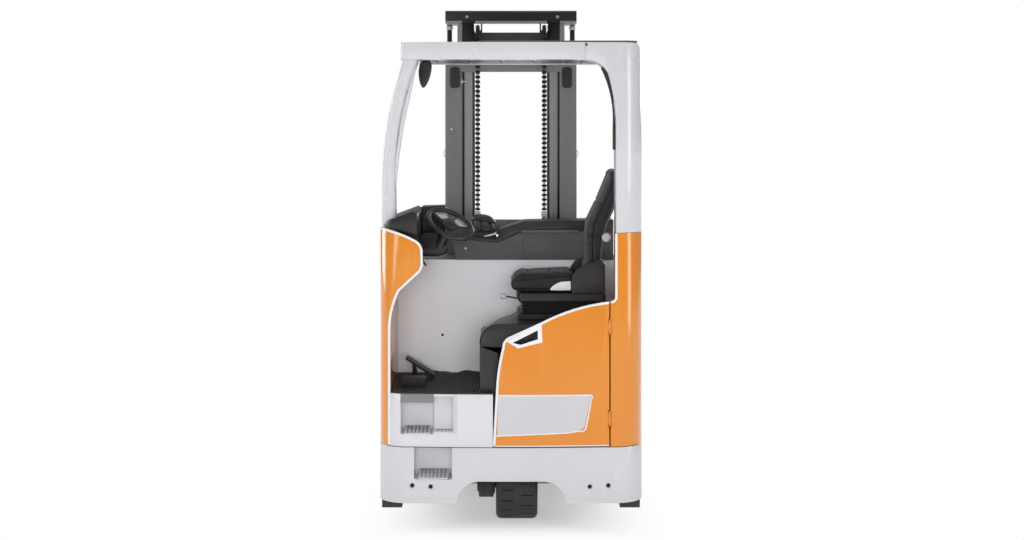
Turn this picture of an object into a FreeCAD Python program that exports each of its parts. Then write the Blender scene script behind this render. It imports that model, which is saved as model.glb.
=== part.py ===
"""Reach truck: cab at the rear, battery behind the cab wall, and a three-stage mast that
rolls forward between two reach legs.  Millimetres.  X is across the truck, Y runs forward
from the rear skin to the fork tips, Z is up from the floor."""
import FreeCAD, Part
import os
import re
import Sketcher

os.makedirs("parts", exist_ok=True)
doc = FreeCAD.newDocument("ReachTruck")

# ---------------------------------------------------------------- driving sizes
SIZES = [
    # overall form
    ("truck_width", 1270, "over the base frame and the reach legs"),
    ("skirt_bottom", 118, "ground clearance of the base frame"),
    ("skirt_top", 388, "top of the light base band"),
    ("corner_depth", 190, "how far a rear corner of the base falls back"),
    ("rear_bow", 22, "bow of the rear face over its middle"),
    ("lashing_hole", 10, "radius of the holes in the rear band"),
    ("cab_depth", 672, "rear skin to battery wall"),
    ("floor_level", 642, "operator floor, without its mat"),
    ("floor_plate", 12, "floor over the steps"),
    ("guard_top", 2330, "top of the overhead guard"),
    ("guard_depth", 84, "height of the guard's rear beam"),
    ("guard_length", 800, "guard, from the rear skin"),
    ("guard_seam", 149, "joint of column and guard, inward of the column"),
    ("belt_level", 1414, "joint of orange and grey on the rear column"),
    ("column_width", 131, "rear column, across the truck"),
    ("column_depth", 196, "rear column, along the truck"),
    ("panel_head", 1433, "top of the driver's side panel"),
    ("sheet", 10, "thickness of sheet housings"),
    # drive unit
    ("drive_x", 28, "steering axis, across"),
    ("drive_y", 236, "steering axis, from the rear skin"),
    ("drive_tyre_radius", 180, ""),
    ("drive_tyre_width", 203, ""),
    ("well_clearance", 12, "room round the steered wheel"),
    ("arch_half", 258, "half of the wheel arch at its foot"),
    ("arch_height", 107, ""),
    # battery bay
    ("battery_side", 35, "truck's side to battery"),
    ("battery_depth", 290, ""),
    ("battery_height", 785, ""),
    ("battery_gap", 6, "room in front of and behind the battery"),
    ("deck_level", 215, "battery deck"),
    ("front_plate", 14, "plate across the front of the frame"),
    ("hood_top", 1232, ""),
    # reach legs
    ("leg_length", 850, ""),
    ("leg_width", 185, ""),
    ("leg_top", 300, ""),
    ("leg_bottom", 60, ""),
    ("load_radius", 142.5, ""),
    ("load_width", 86, ""),
    ("load_setback", 150, "load wheel axle to leg tip"),
    ("track_height", 90, "clear height of the roller track"),
    ("track_bottom", 175, ""),
    ("track_width", 48, ""),
    # mast
    ("mast_setback", 24, "frame to mast, retracted"),
    ("mast_side", 96, "room between a leg and the outer rail"),
    ("mast_depth", 170, "outer rail, front to back"),
    ("rail", 14, "wall of an outer rail"),
    ("inner_rail", 12, "wall of a middle or inner rail"),
    ("rail_play", 6, "gap between nested rails"),
    ("mast_foot", 96, ""),
    ("outer_top", 2330, ""),
    ("middle_top", 2476, ""),
    ("inner_top", 2440, ""),
    ("crosshead", 69, "height of the beam over the middle rails"),
    ("fit", 0.3, "running fit of rollers, rods and pins"),
    # carriage and forks
    ("carriage_width", 700, ""),
    ("carriage_height", 430, ""),
    ("fork_length", 1150, ""),
    ("fork_width", 100, ""),
    ("fork_thickness", 40, ""),
    ("fork_spread", 240, "fork centre line from the truck's middle"),
    ("fork_bottom", 50, ""),
    # driver's place
    ("seat_x", 176, "middle of the cushion, across"),
    ("seat_y", 420, "middle of the cushion, from the rear skin"),
    ("seat_width", 430, "along the truck"),
    ("seat_rail", 972, "top of the housing under the seat"),
    ("seat_plate", 1104, "top of the plate under the cushion"),
    ("wheel_rim", 118, "steering wheel, to the middle of its rim"),
]
sheet_sizes = doc.addObject("Spreadsheet::Sheet", "Sizes")
for row, (alias, value, note) in enumerate(SIZES, start=1):
    sheet_sizes.set(f"A{row}", alias)
    sheet_sizes.set(f"B{row}", str(value))
    sheet_sizes.set(f"C{row}", note)
    sheet_sizes.setAlias(f"B{row}", alias)
doc.recompute()
ALIASES = {alias for alias, value, note in SIZES}

# Places worked out from the sizes.  Each is a formula in the same words.
PLACES = {
    "half_width": "truck_width / 2",
    "battery_back": "cab_depth + sheet + battery_gap",
    "battery_front": "battery_back + battery_depth",
    "plate_back": "battery_front + battery_gap",
    "frame_front": "plate_back + front_plate",
    "leg_tip": "frame_front + leg_length",
    "load_y": "leg_tip - load_setback",
    "leg_in": "half_width - leg_width",
    "outer_back": "frame_front + mast_setback",
    "outer_front": "outer_back + mast_depth",
    "outer_side": "leg_in - mast_side",
    "middle_back": "outer_back + rail + rail_play",
    "middle_front": "outer_front - rail - rail_play",
    "middle_side": "outer_side - rail - 50",
    "inner_back": "middle_back + inner_rail + rail_play",
    "inner_front": "middle_front - inner_rail - rail_play",
    "inner_side": "middle_side - inner_rail - 50",
    "plate_side": "inner_side - inner_rail - 56",
    "tilt_back": "outer_front + 74",
    "shift_back": "tilt_back + 26",
    "fork_back": "shift_back + 22",
    "fork_face": "fork_back + fork_thickness",
    "truck_length": "fork_face + fork_length",
    "rear": "-truck_length / 2",
    "fork_top": "fork_bottom + fork_thickness",
    "column_in": "half_width - column_width",
    "seam": "column_in - guard_seam",
    "door_top": "seat_rail + 109",
    "chain_x": "middle_side - 111",
    "anchor_bar": "outer_top - 990",
    "panel_in": "half_width - 50",
    "guard_under": "guard_top - guard_depth",
}


def full(text):
    """A formula in the sheet's words, with the sheet named and the places written out."""
    def word(found):
        name = found.group(0)
        if name in PLACES:
            return "(" + full(PLACES[name]) + ")"
        return "Sizes." + name if name in ALIASES else name
    return re.sub(r"[a-z_]+", word, str(text))


def number(text):
    """What a formula comes to, with the sheet's present values put in its words."""
    def value(found):
        return f"({float(sheet_sizes.get(found.group(1)))})"
    return FreeCAD.Units.Quantity(re.sub(r"Sizes\.([a-z_]+)", value, full(text))).Value


def bind(thing, field, text):
    thing.setExpression(field, full(text))


kept = []


def keep(thing, node):
    """Names a finished sub-part after its node."""
    thing.Label = node
    kept.append(thing)
    return thing


# ---------------------------------------------------------------- ways of making a piece
def block(x, y, z):
    """A box between two places on each axis; each argument is a (low, high) pair."""
    made = doc.addObject("Part::Box", "Block")
    for side, axis, (low, high) in zip(("Length", "Width", "Height"), "xyz", (x, y, z)):
        bind(made, side, f"({high}) - ({low})")
        shift = "rear + " if axis == "y" else ""
        bind(made, "Placement.Base." + axis, f"{shift}({low})")
    return made


TURNS = {"x": FreeCAD.Rotation(FreeCAD.Vector(0, 1, 0), 90),
         "y": FreeCAD.Rotation(FreeCAD.Vector(1, 0, 0), -90),
         "z": FreeCAD.Rotation()}


def rod(axis, radius, start, end, first, second):
    """A cylinder along an axis; first and second are its other two coordinates in order."""
    made = doc.addObject("Part::Cylinder", "Rod")
    bind(made, "Radius", radius)
    bind(made, "Height", f"({end}) - ({start})")
    made.Placement = FreeCAD.Placement(FreeCAD.Vector(), TURNS[axis])
    others = [name for name in "xyz" if name != axis]
    for name, place in zip([axis] + others, (start, first, second)):
        bind(made, "Placement.Base." + name, ("rear + " if name == "y" else "") + f"({place})")
    return made


def fuse(*pieces):
    made = doc.addObject("Part::MultiFuse", "Joined")
    made.Shapes = list(pieces)
    made.Refine = True
    return made


def cut(base, *tools):
    made = doc.addObject("Part::Cut", "Cut")
    made.Base = base
    made.Tool = tools[0] if len(tools) == 1 else fuse(*tools)
    return made


def common(first, second):
    made = doc.addObject("Part::Common", "Common")
    made.Base = first
    made.Tool = second
    return made


def together(*pieces):
    """Solids that don't touch, kept as one sub-part."""
    made = doc.addObject("Part::Compound", "Set")
    made.Links = list(pieces)
    return made


def draw(sketch, path):
    """A closed outline.  path starts at a point (x, y); each step is (x, y) for a line, or
    (mid x, mid y, x, y) for an arc through a middle point."""
    start = path[0]
    here = start
    for step in list(path[1:]) + [start]:
        there = step[-2:]
        points = [FreeCAD.Vector(number(a), number(b), 0) for a, b in (here, there)]
        if len(step) == 4:
            middle = FreeCAD.Vector(number(step[0]), number(step[1]), 0)
            leftward = (middle - points[0]).cross(points[1] - middle).z > 0
            ends = (1, 2) if leftward else (2, 1)
            order = points if leftward else points[::-1]
            line = sketch.addGeometry(Part.Arc(order[0], middle, order[1]))
            mark = sketch.addGeometry(Part.Point(middle), True)
            pin(sketch, mark, 1, step[0], step[1])
            sketch.addConstraint(Sketcher.Constraint("PointOnObject", mark, 1, line))
        else:
            line = sketch.addGeometry(Part.LineSegment(*points))
            ends = (1, 2)
        if here is start:
            first = (line, ends[0])
            pin(sketch, line, ends[0], *here)
        else:
            sketch.addConstraint(Sketcher.Constraint("Coincident", *last, line, ends[0]))
        if there == tuple(start):
            sketch.addConstraint(Sketcher.Constraint("Coincident", line, ends[1], *first))
        else:
            pin(sketch, line, ends[1], *there)
        last = (line, ends[1])
        here = there


def pin(sketch, line, end, across, up):
    """Holds one point of a sketch at two formulas."""
    for kind, text in (("DistanceX", across), ("DistanceY", up)):
        index = sketch.addConstraint(Sketcher.Constraint(kind, -1, 1, line, end, number(text)))
        bind(sketch, f"Constraints[{index}]", text)


PLANES = {"x": "YZ_Plane", "y": "XZ_Plane", "z": "XY_Plane"}


def profile(axis, path, low, high, rounds=()):
    """A PartDesign body: an outline across one axis, padded along it from low to high, then
    its long edges rounded.  rounds holds (point, radius) pairs, points as in the path."""
    body = doc.addObject("PartDesign::Body", "Profile")
    plane = next(f for f in body.Origin.OriginFeatures if f.Role == PLANES[axis])
    sketch = body.newObject("Sketcher::SketchObject", "Outline")
    sketch.AttachmentSupport = (plane, [""])
    sketch.MapMode = "FlatFace"
    sign = "-" if axis == "y" else ""
    bind(sketch, "AttachmentOffset.Base.z", f"{sign}({low})")
    draw(sketch, path)
    pad = body.newObject("PartDesign::Pad", "Pad")
    pad.Profile = sketch
    bind(pad, "Length", f"({high}) - ({low})")
    pad.Reversed = axis == "y"
    bind(body, "Placement.Base.y", "rear")
    if rounds:
        doc.recompute()
        last = pad
        for radius, corners in rounds:
            last = round_corners(body, last, axis, corners, radius)
    return body


def round_corners(body, base, axis, corners, radius):
    """Rounds the edges that run along the pad at the given corners of its outline."""
    spots = [(number(a), number(b)) for a, b in corners]
    names = []
    for index, edge in enumerate(base.Shape.Edges, start=1):
        ends = [v.Point for v in edge.Vertexes]
        if len(ends) != 2 or abs(abs(getattr(ends[0] - ends[1], axis)) - edge.Length) > 1e-4:
            continue
        flat = {"x": (ends[0].y, ends[0].z), "y": (ends[0].x, ends[0].z),
                "z": (ends[0].x, ends[0].y)}[axis]
        if any(abs(flat[0] - a) + abs(flat[1] - b) < 1e-3 for a, b in spots):
            names.append(f"Edge{index}")
    made = body.newObject("PartDesign::Fillet", "Round")
    made.Base = (base, names)
    bind(made, "Radius", radius)
    doc.recompute()
    return made


def soften(thing, radius, chosen):
    """Rounds the edges of a finished solid that chosen(edge) picks."""
    doc.recompute()
    made = doc.addObject("Part::Fillet", "Soft")
    made.Base = thing
    size = number(radius)
    made.Edges = [(i, size, size) for i, e in enumerate(thing.Shape.Edges, 1) if chosen(e)]
    doc.recompute()
    return made


def along(axis, low=None):
    """Picks straight edges along an axis."""
    def chosen(edge):
        if edge.Curve.TypeId != "Part::GeomLine" or edge.Length < (low or 0):
            return False
        return abs(abs(getattr(edge.Curve.Direction, axis)) - 1) < 1e-6
    return chosen


SIDES = (("left", "-1"), ("right", "1"))


def span(side, low, high):
    """An X range given on the right, or its mirror image on the left."""
    return (low, high) if side == "1" else (f"-({high})", f"-({low})")


# ---------------------------------------------------------------- base frame
def plan_skin(low, high, inset="0"):
    """The truck's plan from its bowed rear face round both corners to the front plate."""
    w, i = "half_width", f"({inset})"
    path = [(f"-{w} + {i}", "corner_depth"),
            (f"-{w} + {i} + 50", f"0.27 * corner_depth + {i}", f"-{w} + 166", f"rear_bow + {i}"),
            ("0", i, f"{w} - 166", f"rear_bow + {i}"),
            (f"{w} - {i} - 50", f"0.27 * corner_depth + {i}", f"{w} - {i}", "corner_depth"),
            (f"{w} - {i}", "frame_front"), (f"-{w} + {i}", "frame_front")]
    return profile("z", path, low, high)


def base_frame():
    side_view = [("-40", "skirt_bottom"), ("frame_front", "skirt_bottom"),
                 ("frame_front", "leg_top"), ("plate_back", "leg_top"),
                 ("plate_back", "deck_level"), ("cab_depth + sheet", "deck_level"),
                 ("cab_depth + sheet", "skirt_top"), ("-40", "skirt_top")]
    solid = common(plan_skin("skirt_bottom", "skirt_top"),
                   profile("x", side_view, "-half_width", "half_width"))
    well = block(("-arch_half", "arch_half"), ("18", "drive_y + drive_tyre_radius + 38"),
                 ("skirt_bottom - 10", "skirt_top - 10"))
    arch_top = "skirt_bottom + arch_height"
    arch = profile("y", [("-arch_half", "skirt_bottom - 10"), ("-arch_half", "skirt_bottom + 2"),
                         ("-arch_half + 31", "skirt_bottom + 76", "-arch_half + 113", arch_top),
                         ("arch_half - 113", arch_top),
                         ("arch_half - 31", "skirt_bottom + 76", "arch_half", "skirt_bottom + 2"),
                         ("arch_half", "skirt_bottom - 10")], "-10", "40")
    neck = rod("z", "98", "skirt_top - 30", "skirt_top + 10", "drive_x", "drive_y")
    tunnel = block(("296", "364"), ("300", "frame_front + 10"), ("skirt_bottom - 10", "200"))
    step = profile("y", [("-half_width + 169", "233"), ("-half_width + 352", "233"),
                         ("-half_width + 352", "skirt_top + 5"),
                         ("-half_width + 171", "skirt_top + 5")], "-10", "132",
                   [("8", [("-half_width + 169", "233"), ("-half_width + 352", "233")])])
    holes = []
    for x, z, seat in (("-half_width + 161", "202", "26"), ("-half_width + 250", "198", "18"),
                       ("half_width - 257", "198", "18"), ("half_width - 168", "202", "26")):
        holes.append(rod("y", "13", "-10", seat, x, z))
        holes.append(rod("y", "lashing_hole", "0", f"{seat} + 50", x, z))
    return keep(cut(solid, well, arch, neck, tunnel, step, *holes), "base_frame")


base_frame()


def corner_stops():
    stops = []
    for name, side in SIDES:
        x = span(side, "half_width - 107", "half_width - 10")
        low, high = "skirt_bottom - 42", "skirt_bottom"
        stops.append(common(plan_skin(low, high, "3"), block(x, ("112", "200"), (low, high))))
    return keep(together(*stops), "corner_stops")


corner_stops()


# ---------------------------------------------------------------- cab shell
def step_housing():
    x_low, x_high = "-panel_in", "-86"
    solid = common(plan_skin("skirt_top", "floor_level", "2"),
                   block((x_low, x_high), ("0", "cab_depth"), ("skirt_top", "floor_level")))
    pocket, roof = ("-panel_in + 55", "-panel_in + 213"), "floor_level - floor_plate"
    deep = soften(block(pocket, ("-10", "150"), ("skirt_top + 61", "floor_level - 50")),
                  "5", along("y"))
    above = block(pocket, ("-10", "60"), ("floor_level - 60", roof))
    shallow = block(("-panel_in + 211", "-panel_in + 309"), ("-10", "96"),
                    ("skirt_top + 72", roof))
    return keep(cut(solid, deep, above, shallow), "step_housing")


step_housing()


def step_treads():
    treads = [block(("-panel_in + 71", "-panel_in + 197"), ("16", "140"),
                    ("skirt_top + 61", "skirt_top + 67")),
              block(("-panel_in + 217", "-panel_in + 303"), ("16", "90"),
                    ("skirt_top + 72", "skirt_top + 78")),
              block(("-half_width + 189", "-half_width + 335"), ("16", "124"),
                    ("233", "239"))]
    return keep(together(*[soften(t, "18", along("z")) for t in treads]), "step_treads")


step_treads()



def floor_mat():
    """Rubber mat from the rear edge of the floor to the cab wall, beside the pedestal."""
    z = ("floor_level", "floor_level + 8")
    mat = common(plan_skin(*z, "4"), block(("-panel_in", "-88"), ("0", "cab_depth"), z))
    return keep(cut(mat, block(("-150", "0"), ("36", "cab_depth + 10"), z)), "floor_mat")


floor_mat()
keep(block(("-half_width + 6", "half_width - 6"), ("cab_depth", "cab_depth + sheet"),
           ("skirt_top", "hood_top")), "battery_wall")


PANEL_EDGE = [("-half_width", "skirt_top"), ("-panel_in", "skirt_top"),
              ("-panel_in", "panel_head - 503"),
              ("-half_width + 61", "panel_head - 393", "-half_width + 97", "panel_head - 293"),
              ("-half_width + 188", "panel_head - 209"),
              ("-half_width + 204", "panel_head - 187", "-half_width + 208", "panel_head - 158"),
              ("-half_width + 207", "panel_head - 111"),
              ("-half_width + 198", "panel_head - 77", "-half_width + 173", "panel_head - 56"),
              ("-half_width + 90", "panel_head - 20", "-half_width", "panel_head")]


def side_panels():
    """Moulded shell on the driver's front side, whose head swells out; flat skin on the other."""
    shell = cut(common(plan_skin("skirt_top", "guard_top", "1"),
                       profile("y", PANEL_EDGE, "0", "cab_depth")),
                plan_skin("skirt_top - 5", "guard_top", "half_width - panel_in"))
    keep(shell, "left_side_panel")
    keep(block(("half_width - 36", "half_width - 1"), ("column_depth", "cab_depth"),
               ("skirt_top", "hood_top")), "right_side_panel")


side_panels()


DOOR_AXIS = ("column_in - 29", "rear_bow - 1")
DOOR_HINGES = ("500", "940")


def door_pins():
    """Hinge pins of the rear door, each held by a lug above and below its knuckle."""
    parts = []
    for z in DOOR_HINGES:
        parts.append(rod("z", "2.5", f"{z} - 10", f"{z} + 60", *DOOR_AXIS))
        for low, high in ((f"{z} - 10", f"{z} - fit"), (f"{z} + 50 + fit", f"{z} + 60")):
            parts.append(rod("z", "6", low, high, *DOOR_AXIS))
            parts.append(block((DOOR_AXIS[0], "column_in - 20"),
                               (DOOR_AXIS[1], f"{DOOR_AXIS[1]} + 5"), (low, high)))
    return parts


def rear_column():
    """Rear corner: orange below the belt, light grey above, and the big fillet to the guard."""
    edge = "column_in - 26"
    low = profile("y", [(edge, "skirt_top"), ("half_width", "skirt_top"),
                        ("half_width", "belt_level"), ("column_in", "belt_level"),
                        ("column_in", "door_top + 25"),
                        ("column_in - 7", "door_top + 9", edge, "door_top + 2")],
                  "0", "column_depth")
    reliefs = [rod("z", "7", f"{z} - fit", f"{z} + 50 + fit", *DOOR_AXIS) for z in DOOR_HINGES]
    corner = cut(common(plan_skin("skirt_top", "guard_top", "1"), low), *reliefs)
    keep(fuse(corner, *door_pins()), "rear_corner_panel")
    outer = [("column_in", "belt_level"), ("half_width", "belt_level"),
             ("half_width", "guard_top - 60"),
             ("half_width - 12", "guard_top - 14", "half_width - 50", "guard_top"),
             ("seam", "guard_top"), ("seam", "guard_under"),
             ("column_in - 85", "guard_under - 17", "column_in - 38", "guard_under - 64"),
             ("column_in - 10", "guard_under - 189", "column_in", "guard_under - 316")]
    high = profile("y", outer, "0", "column_depth")
    keep(common(plan_skin("belt_level", "guard_top + 5", "1"), high), "rear_column")
    trim = profile("y", [("column_in", "guard_under - 434"), ("column_in", "guard_under - 316"),
                         ("column_in - 24", "guard_under - 64"),
                         ("column_in - 64", "guard_under - 32"),
                         ("column_in - 70", "guard_under - 40"),
                         ("column_in - 26", "guard_under - 162",
                          "column_in - 13", "guard_under - 320"),
                         ("column_in - 13", "guard_under - 434")],
                   "60", "90")
    tool = profile("y", outer, "50", "100")
    bind(tool, "Placement.Base.x", "-fit")
    bind(tool, "Placement.Base.z", "-fit")
    keep(cut(trim, tool), "column_trim")


rear_column()


def overhead_guard():
    """Rear, front and side beams, and the lamellae between them."""
    beam, end, inside = "60", "-half_width + 105", "-half_width + 183"
    z = ("guard_under", "guard_top")
    rear_end = profile("y", [(end, "guard_under + 22"),
                             (f"{end} + 6", "guard_under + 6", f"{end} + 24", "guard_under"),
                             ("seam", "guard_under"), ("seam", "guard_top"),
                             (f"{end} + 30", "guard_top"),
                             (f"{end} + 8", "guard_top - 8", end, "guard_top - 30")],
                       "0", "110")
    rear_beam = common(plan_skin("guard_under", "guard_top", "1"), rear_end)
    front = ("guard_length - " + beam, "guard_length")
    front_beam = block((end, "half_width - 10"), front, z)
    left = block((end, inside), ("110", front[0]), z)
    right = block(("half_width - 70", "half_width - 10"), ("column_depth", front[0]), z)
    post = block(("half_width - 70", "half_width - 10"), front, ("hood_top", "guard_under"))
    keep(fuse(rear_beam, left, front_beam, right, post), "guard_frame")
    level = ("guard_under + 4", "guard_under + 22")
    pitch = f"(seam - ({inside})) / 5"
    edges = [inside] + [f"{inside} + {i + 0.5} * {pitch}" for i in range(5)] + ["seam"]
    bars = [block((a + " + 3", b + " - 3"), ("110", front[0]), level)
            for a, b in zip(edges, edges[1:])]
    bars.append(block(("seam + 3", "half_width - 73"), ("column_depth", front[0]), level))
    keep(together(*bars), "guard_bars")


overhead_guard()


def upright(edge):
    """Picks the long rising edges of the pillar."""
    return edge.BoundBox.ZLength > 100


def a_pillar():
    """Oval tube that leans in from the side panel to the guard."""
    straight = "(panel_head + 237)"
    bend = f"{straight} + 0.3646 * (guard_under - {straight})"
    outer = [("-half_width + 7", "panel_head - 53"), ("-half_width + 79", "panel_head - 53"),
             ("-half_width + 75", straight),
             ("-half_width + 86", bend, "-half_width + 183", "guard_under"),
             ("-half_width + 111", "guard_under"),
             ("-half_width + 23", bend, "-half_width + 5", straight)]
    tube = soften(profile("y", outer, "112", "194"), "24", upright)
    tool = profile("y", PANEL_EDGE, "50", "250")
    bind(tool, "Placement.Base.x", "fit")
    bind(tool, "Placement.Base.z", "fit")
    return keep(cut(tube, tool), "a_pillar")


a_pillar()


# ---------------------------------------------------------------- drive compartment
def drive_compartment():
    """Black moulded housing under the seat and the orange door that closes it."""
    top = "seat_rail"
    outer = [("-150", "floor_level"), ("-150", f"{top} - 102"),
             ("-124", f"{top} - 24", "-56", top), ("half_width - 36", top),
             ("half_width - 36", "floor_level")]
    shell = profile("y", outer, "36", "cab_depth - 60")
    inner = [("-138", "floor_level - 10"), ("-138", f"{top} - 108"),
             ("-113", f"{top} - 37", "-56", f"{top} - 12"), ("half_width - 48", f"{top} - 12"),
             ("half_width - 48", "floor_level - 10")]
    room = profile("y", inner, "48", "cab_depth - 72")
    mouth = block(("-60", "column_in - 34"), ("0", "60"), ("floor_level - 10", f"{top} - 132"))
    corner = block(("column_in - 26", "half_width"), ("0", "column_depth"),
                   ("floor_level - 10", f"{top} + 10"))
    keep(cut(shell, room, mouth, corner), "seat_pedestal")
    free = "column_in - 32"
    edge = [("-81", "skirt_top + 5"), ("-67", "door_top - 433"),
            ("-60", "door_top - 341", "-36", "door_top - 213"),
            ("-22", "door_top - 177", "0", "door_top - 164"), ("144", "door_top - 99"),
            ("300", "door_top - 35", free, "door_top"),
            (free, "skirt_top + 5")]
    skin = common(plan_skin("skirt_top", "guard_top"), profile("y", edge, "0", "30"))
    pocket = profile("y", [("8", "door_top - 191"), ("128", "door_top - 131"),
                           ("132", "door_top - 185"), ("46", "door_top - 213")],
                     "-10", "24")
    knuckles, bores = [], []
    for z in DOOR_HINGES:
        knuckles.append(rod("z", "6", z, f"{z} + 50", *DOOR_AXIS))
        knuckles.append(block((f"{free} - 16", DOOR_AXIS[0]), (DOOR_AXIS[1], f"{DOOR_AXIS[1]} + 5"),
                              (z, f"{z} + 50")))
        bores.append(rod("z", "2.5 + fit", f"{z} - 5", f"{z} + 55", *DOOR_AXIS))
    reliefs = [rod("z", "8", f"{z} - 15", f"{z} + 65", *DOOR_AXIS) for z in DOOR_HINGES]
    keep(cut(fuse(cut(skin, pocket, *reliefs), *knuckles), *bores), "rear_door")


drive_compartment()


def turned(sections):
    """A solid of revolution about Z from (radius, height) points."""
    body = doc.addObject("PartDesign::Body", "Turned")
    plane = next(f for f in body.Origin.OriginFeatures if f.Role == "XZ_Plane")
    sketch = body.newObject("Sketcher::SketchObject", "Outline")
    sketch.AttachmentSupport = (plane, [""])
    sketch.MapMode = "FlatFace"
    draw(sketch, sections)
    made = body.newObject("PartDesign::Revolution", "Revolution")
    made.Profile = sketch
    made.ReferenceAxis = (sketch, ["V_Axis"])
    made.Angle = 360
    return body


def wheel_ring(radius, bore, left, right, shoulder, y, z):
    """A ring about an axle across the truck, its tread sloped off at both shoulders."""
    low = f"{radius} - 0.7 * {shoulder}"
    ring = turned([(bore, left), (low, left), (f"{radius} - 0.2 * {shoulder}",
                                               f"{left} + 0.3 * {shoulder}"),
                   (radius, f"{left} + {shoulder}"), (radius, f"{right} - {shoulder}"),
                   (f"{radius} - 0.2 * {shoulder}", f"{right} - 0.3 * {shoulder}"),
                   (low, right), (bore, right)])
    ring.Placement = FreeCAD.Placement(FreeCAD.Vector(), TURNS["x"])
    bind(ring, "Placement.Base.y", f"rear + {y}")
    bind(ring, "Placement.Base.z", z)
    return ring


def drive_unit():
    """Motor on the frame; gear housing, tyre and hub that turn under it."""
    keep(fuse(rod("z", "100", "skirt_top + 22", "skirt_top + 300", "drive_x", "drive_y"),
              rod("z", "106", "skirt_top", "skirt_top + 22", "drive_x", "drive_y"),
              rod("z", "84", "skirt_top + 300", "skirt_top + 340", "drive_x", "drive_y")),
         "drive_motor")
    axle, face = "drive_tyre_radius", "drive_x - drive_tyre_width / 2"
    top = "skirt_top - 10"
    arm = profile("x", [("drive_y - 70", axle), ("drive_y", f"{axle} - 78", "drive_y + 70", axle),
                        ("drive_y + 62", f"{top} - 2"), ("drive_y - 62", f"{top} - 2")],
                  f"{face} - 84", f"{face} - 12")
    disc = rod("z", "130", f"{top} - 12", f"{top} - 2", "drive_x", "drive_y")
    boss = rod("x", "52", f"{face} - 92", f"{face} - 84", "drive_y", axle)
    stub = rod("x", "34", f"{face} - 14", f"{face} + 60", "drive_y", axle)
    neck = rod("z", "90", f"{top} - 6", "skirt_top - 0.3", "drive_x", "drive_y")
    keep(fuse(arm, disc, boss, stub, neck), "drive_gearbox")
    span_x = (face, "drive_x + drive_tyre_width / 2")
    keep(wheel_ring("drive_tyre_radius", "118", *span_x, "20", "drive_y", axle), "drive_tyre")
    rim = rod("x", "118", f"{face} + 4", f"{span_x[1]} - 4", "drive_y", axle)
    bore = rod("x", "34 + fit", f"{face} - 5", f"{face} + 66", "drive_y", axle)
    dish = rod("x", "88", f"{span_x[1]} - 40", f"{span_x[1]} + 5", "drive_y", axle)
    keep(cut(rim, bore, dish), "drive_hub")


drive_unit()


# ---------------------------------------------------------------- battery bay
keep(block(("-half_width + battery_side", "half_width - battery_side"),
           ("battery_back", "battery_front"),
           ("deck_level", "deck_level + battery_height")), "battery")


def battery_hood():
    side, foot = "half_width - 8", "leg_top"
    low = "deck_level + battery_height + 8"
    lid = block((f"-({side})", side), ("cab_depth + sheet", "frame_front"), (low, "hood_top"))
    room = block((f"-({side}) + sheet", f"{side} - sheet"),
                 ("cab_depth + 2 * sheet", "frame_front - sheet"),
                 (f"{low} - 10", "hood_top - sheet"))
    posts = []
    for name, sign in SIDES:
        x = span(sign, f"{side} - 22", side)
        posts.append(block(x, ("plate_back", "frame_front"), (foot, low)))
    return keep(fuse(cut(lid, room), *posts), "battery_hood")


battery_hood()


def reach_cylinder():
    """Barrel in the frame's tunnel; its rod pushes the mast carriage."""
    barrel = cut(rod("y", "28", "330", "frame_front - 6", "330", "160"),
                 rod("y", "16 + fit", "346", "frame_front", "330", "160"))
    keep(fuse(barrel, block(("300", "360"), ("300", "330"), ("132", "200"))),
         "reach_cylinder")
    keep(rod("y", "16", "352", "outer_back - 16", "330", "160"), "reach_rod")


reach_cylinder()


# ---------------------------------------------------------------- reach legs
def reach_leg(name, sign):
    """C-shaped roller track inside, wheel box outside."""
    out = "half_width - 4"
    outline = [("frame_front", "leg_bottom"), ("leg_tip - 34", "leg_bottom"),
               ("leg_tip", "leg_bottom + 34"), ("leg_tip", "leg_top - 96"),
               ("leg_tip - 14", "leg_top - 34", "leg_tip - 74", "leg_top"),
               ("frame_front", "leg_top")]
    beam = profile("x", outline, *span(sign, "leg_in", out))
    track = block(span(sign, "leg_in - 5", "leg_in + track_width"),
                  ("frame_front - 5", "leg_tip - 46"),
                  ("track_bottom", "track_bottom + track_height"))
    box_in, box_out = "leg_in + track_width + 12", "half_width - 16"
    wheel_box = block(span(sign, box_in, box_out),
                      ("load_y - load_radius - 8", "load_y + load_radius + 8"),
                      ("leg_bottom - 5", "leg_top - 5"))
    body = cut(beam, track, wheel_box)
    axle = rod("x", "20", *span(sign, f"{box_in} - 2", f"{box_out} + 2"), "load_y", "load_radius")
    return keep(fuse(body, axle), f"{name}_reach_leg")


def load_wheel(name, sign):
    middle = "(leg_in + track_width + 12 + half_width - 16) / 2"
    x = span(sign, f"{middle} - load_width / 2", f"{middle} + load_width / 2")
    place = ("load_y", "load_radius")
    keep(wheel_ring("load_radius", "20 + fit", *x, "8", *place), f"{name}_load_wheel")


for name, sign in SIDES:
    reach_leg(name, sign)
    load_wheel(name, sign)


# ---------------------------------------------------------------- mast
def rail_pair(outside, web, back, front, reach, low, high):
    """Two C rails that open inward: a web, and flanges that reach towards the middle."""
    rails = []
    for name, sign in SIDES:
        solid = block(span(sign, f"{outside} - {reach}", outside), (back, front), (low, high))
        slot = block(span(sign, f"{outside} - {reach} - 5", f"{outside} - {web}"),
                     (f"{back} + {web}", f"{front} - {web}"), (f"{low} - 5", f"{high} + 5"))
        rails.append(cut(solid, slot))
    return rails


def cross_bar(half, y, z):
    return block((f"-({half})", half), y, z)


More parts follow.
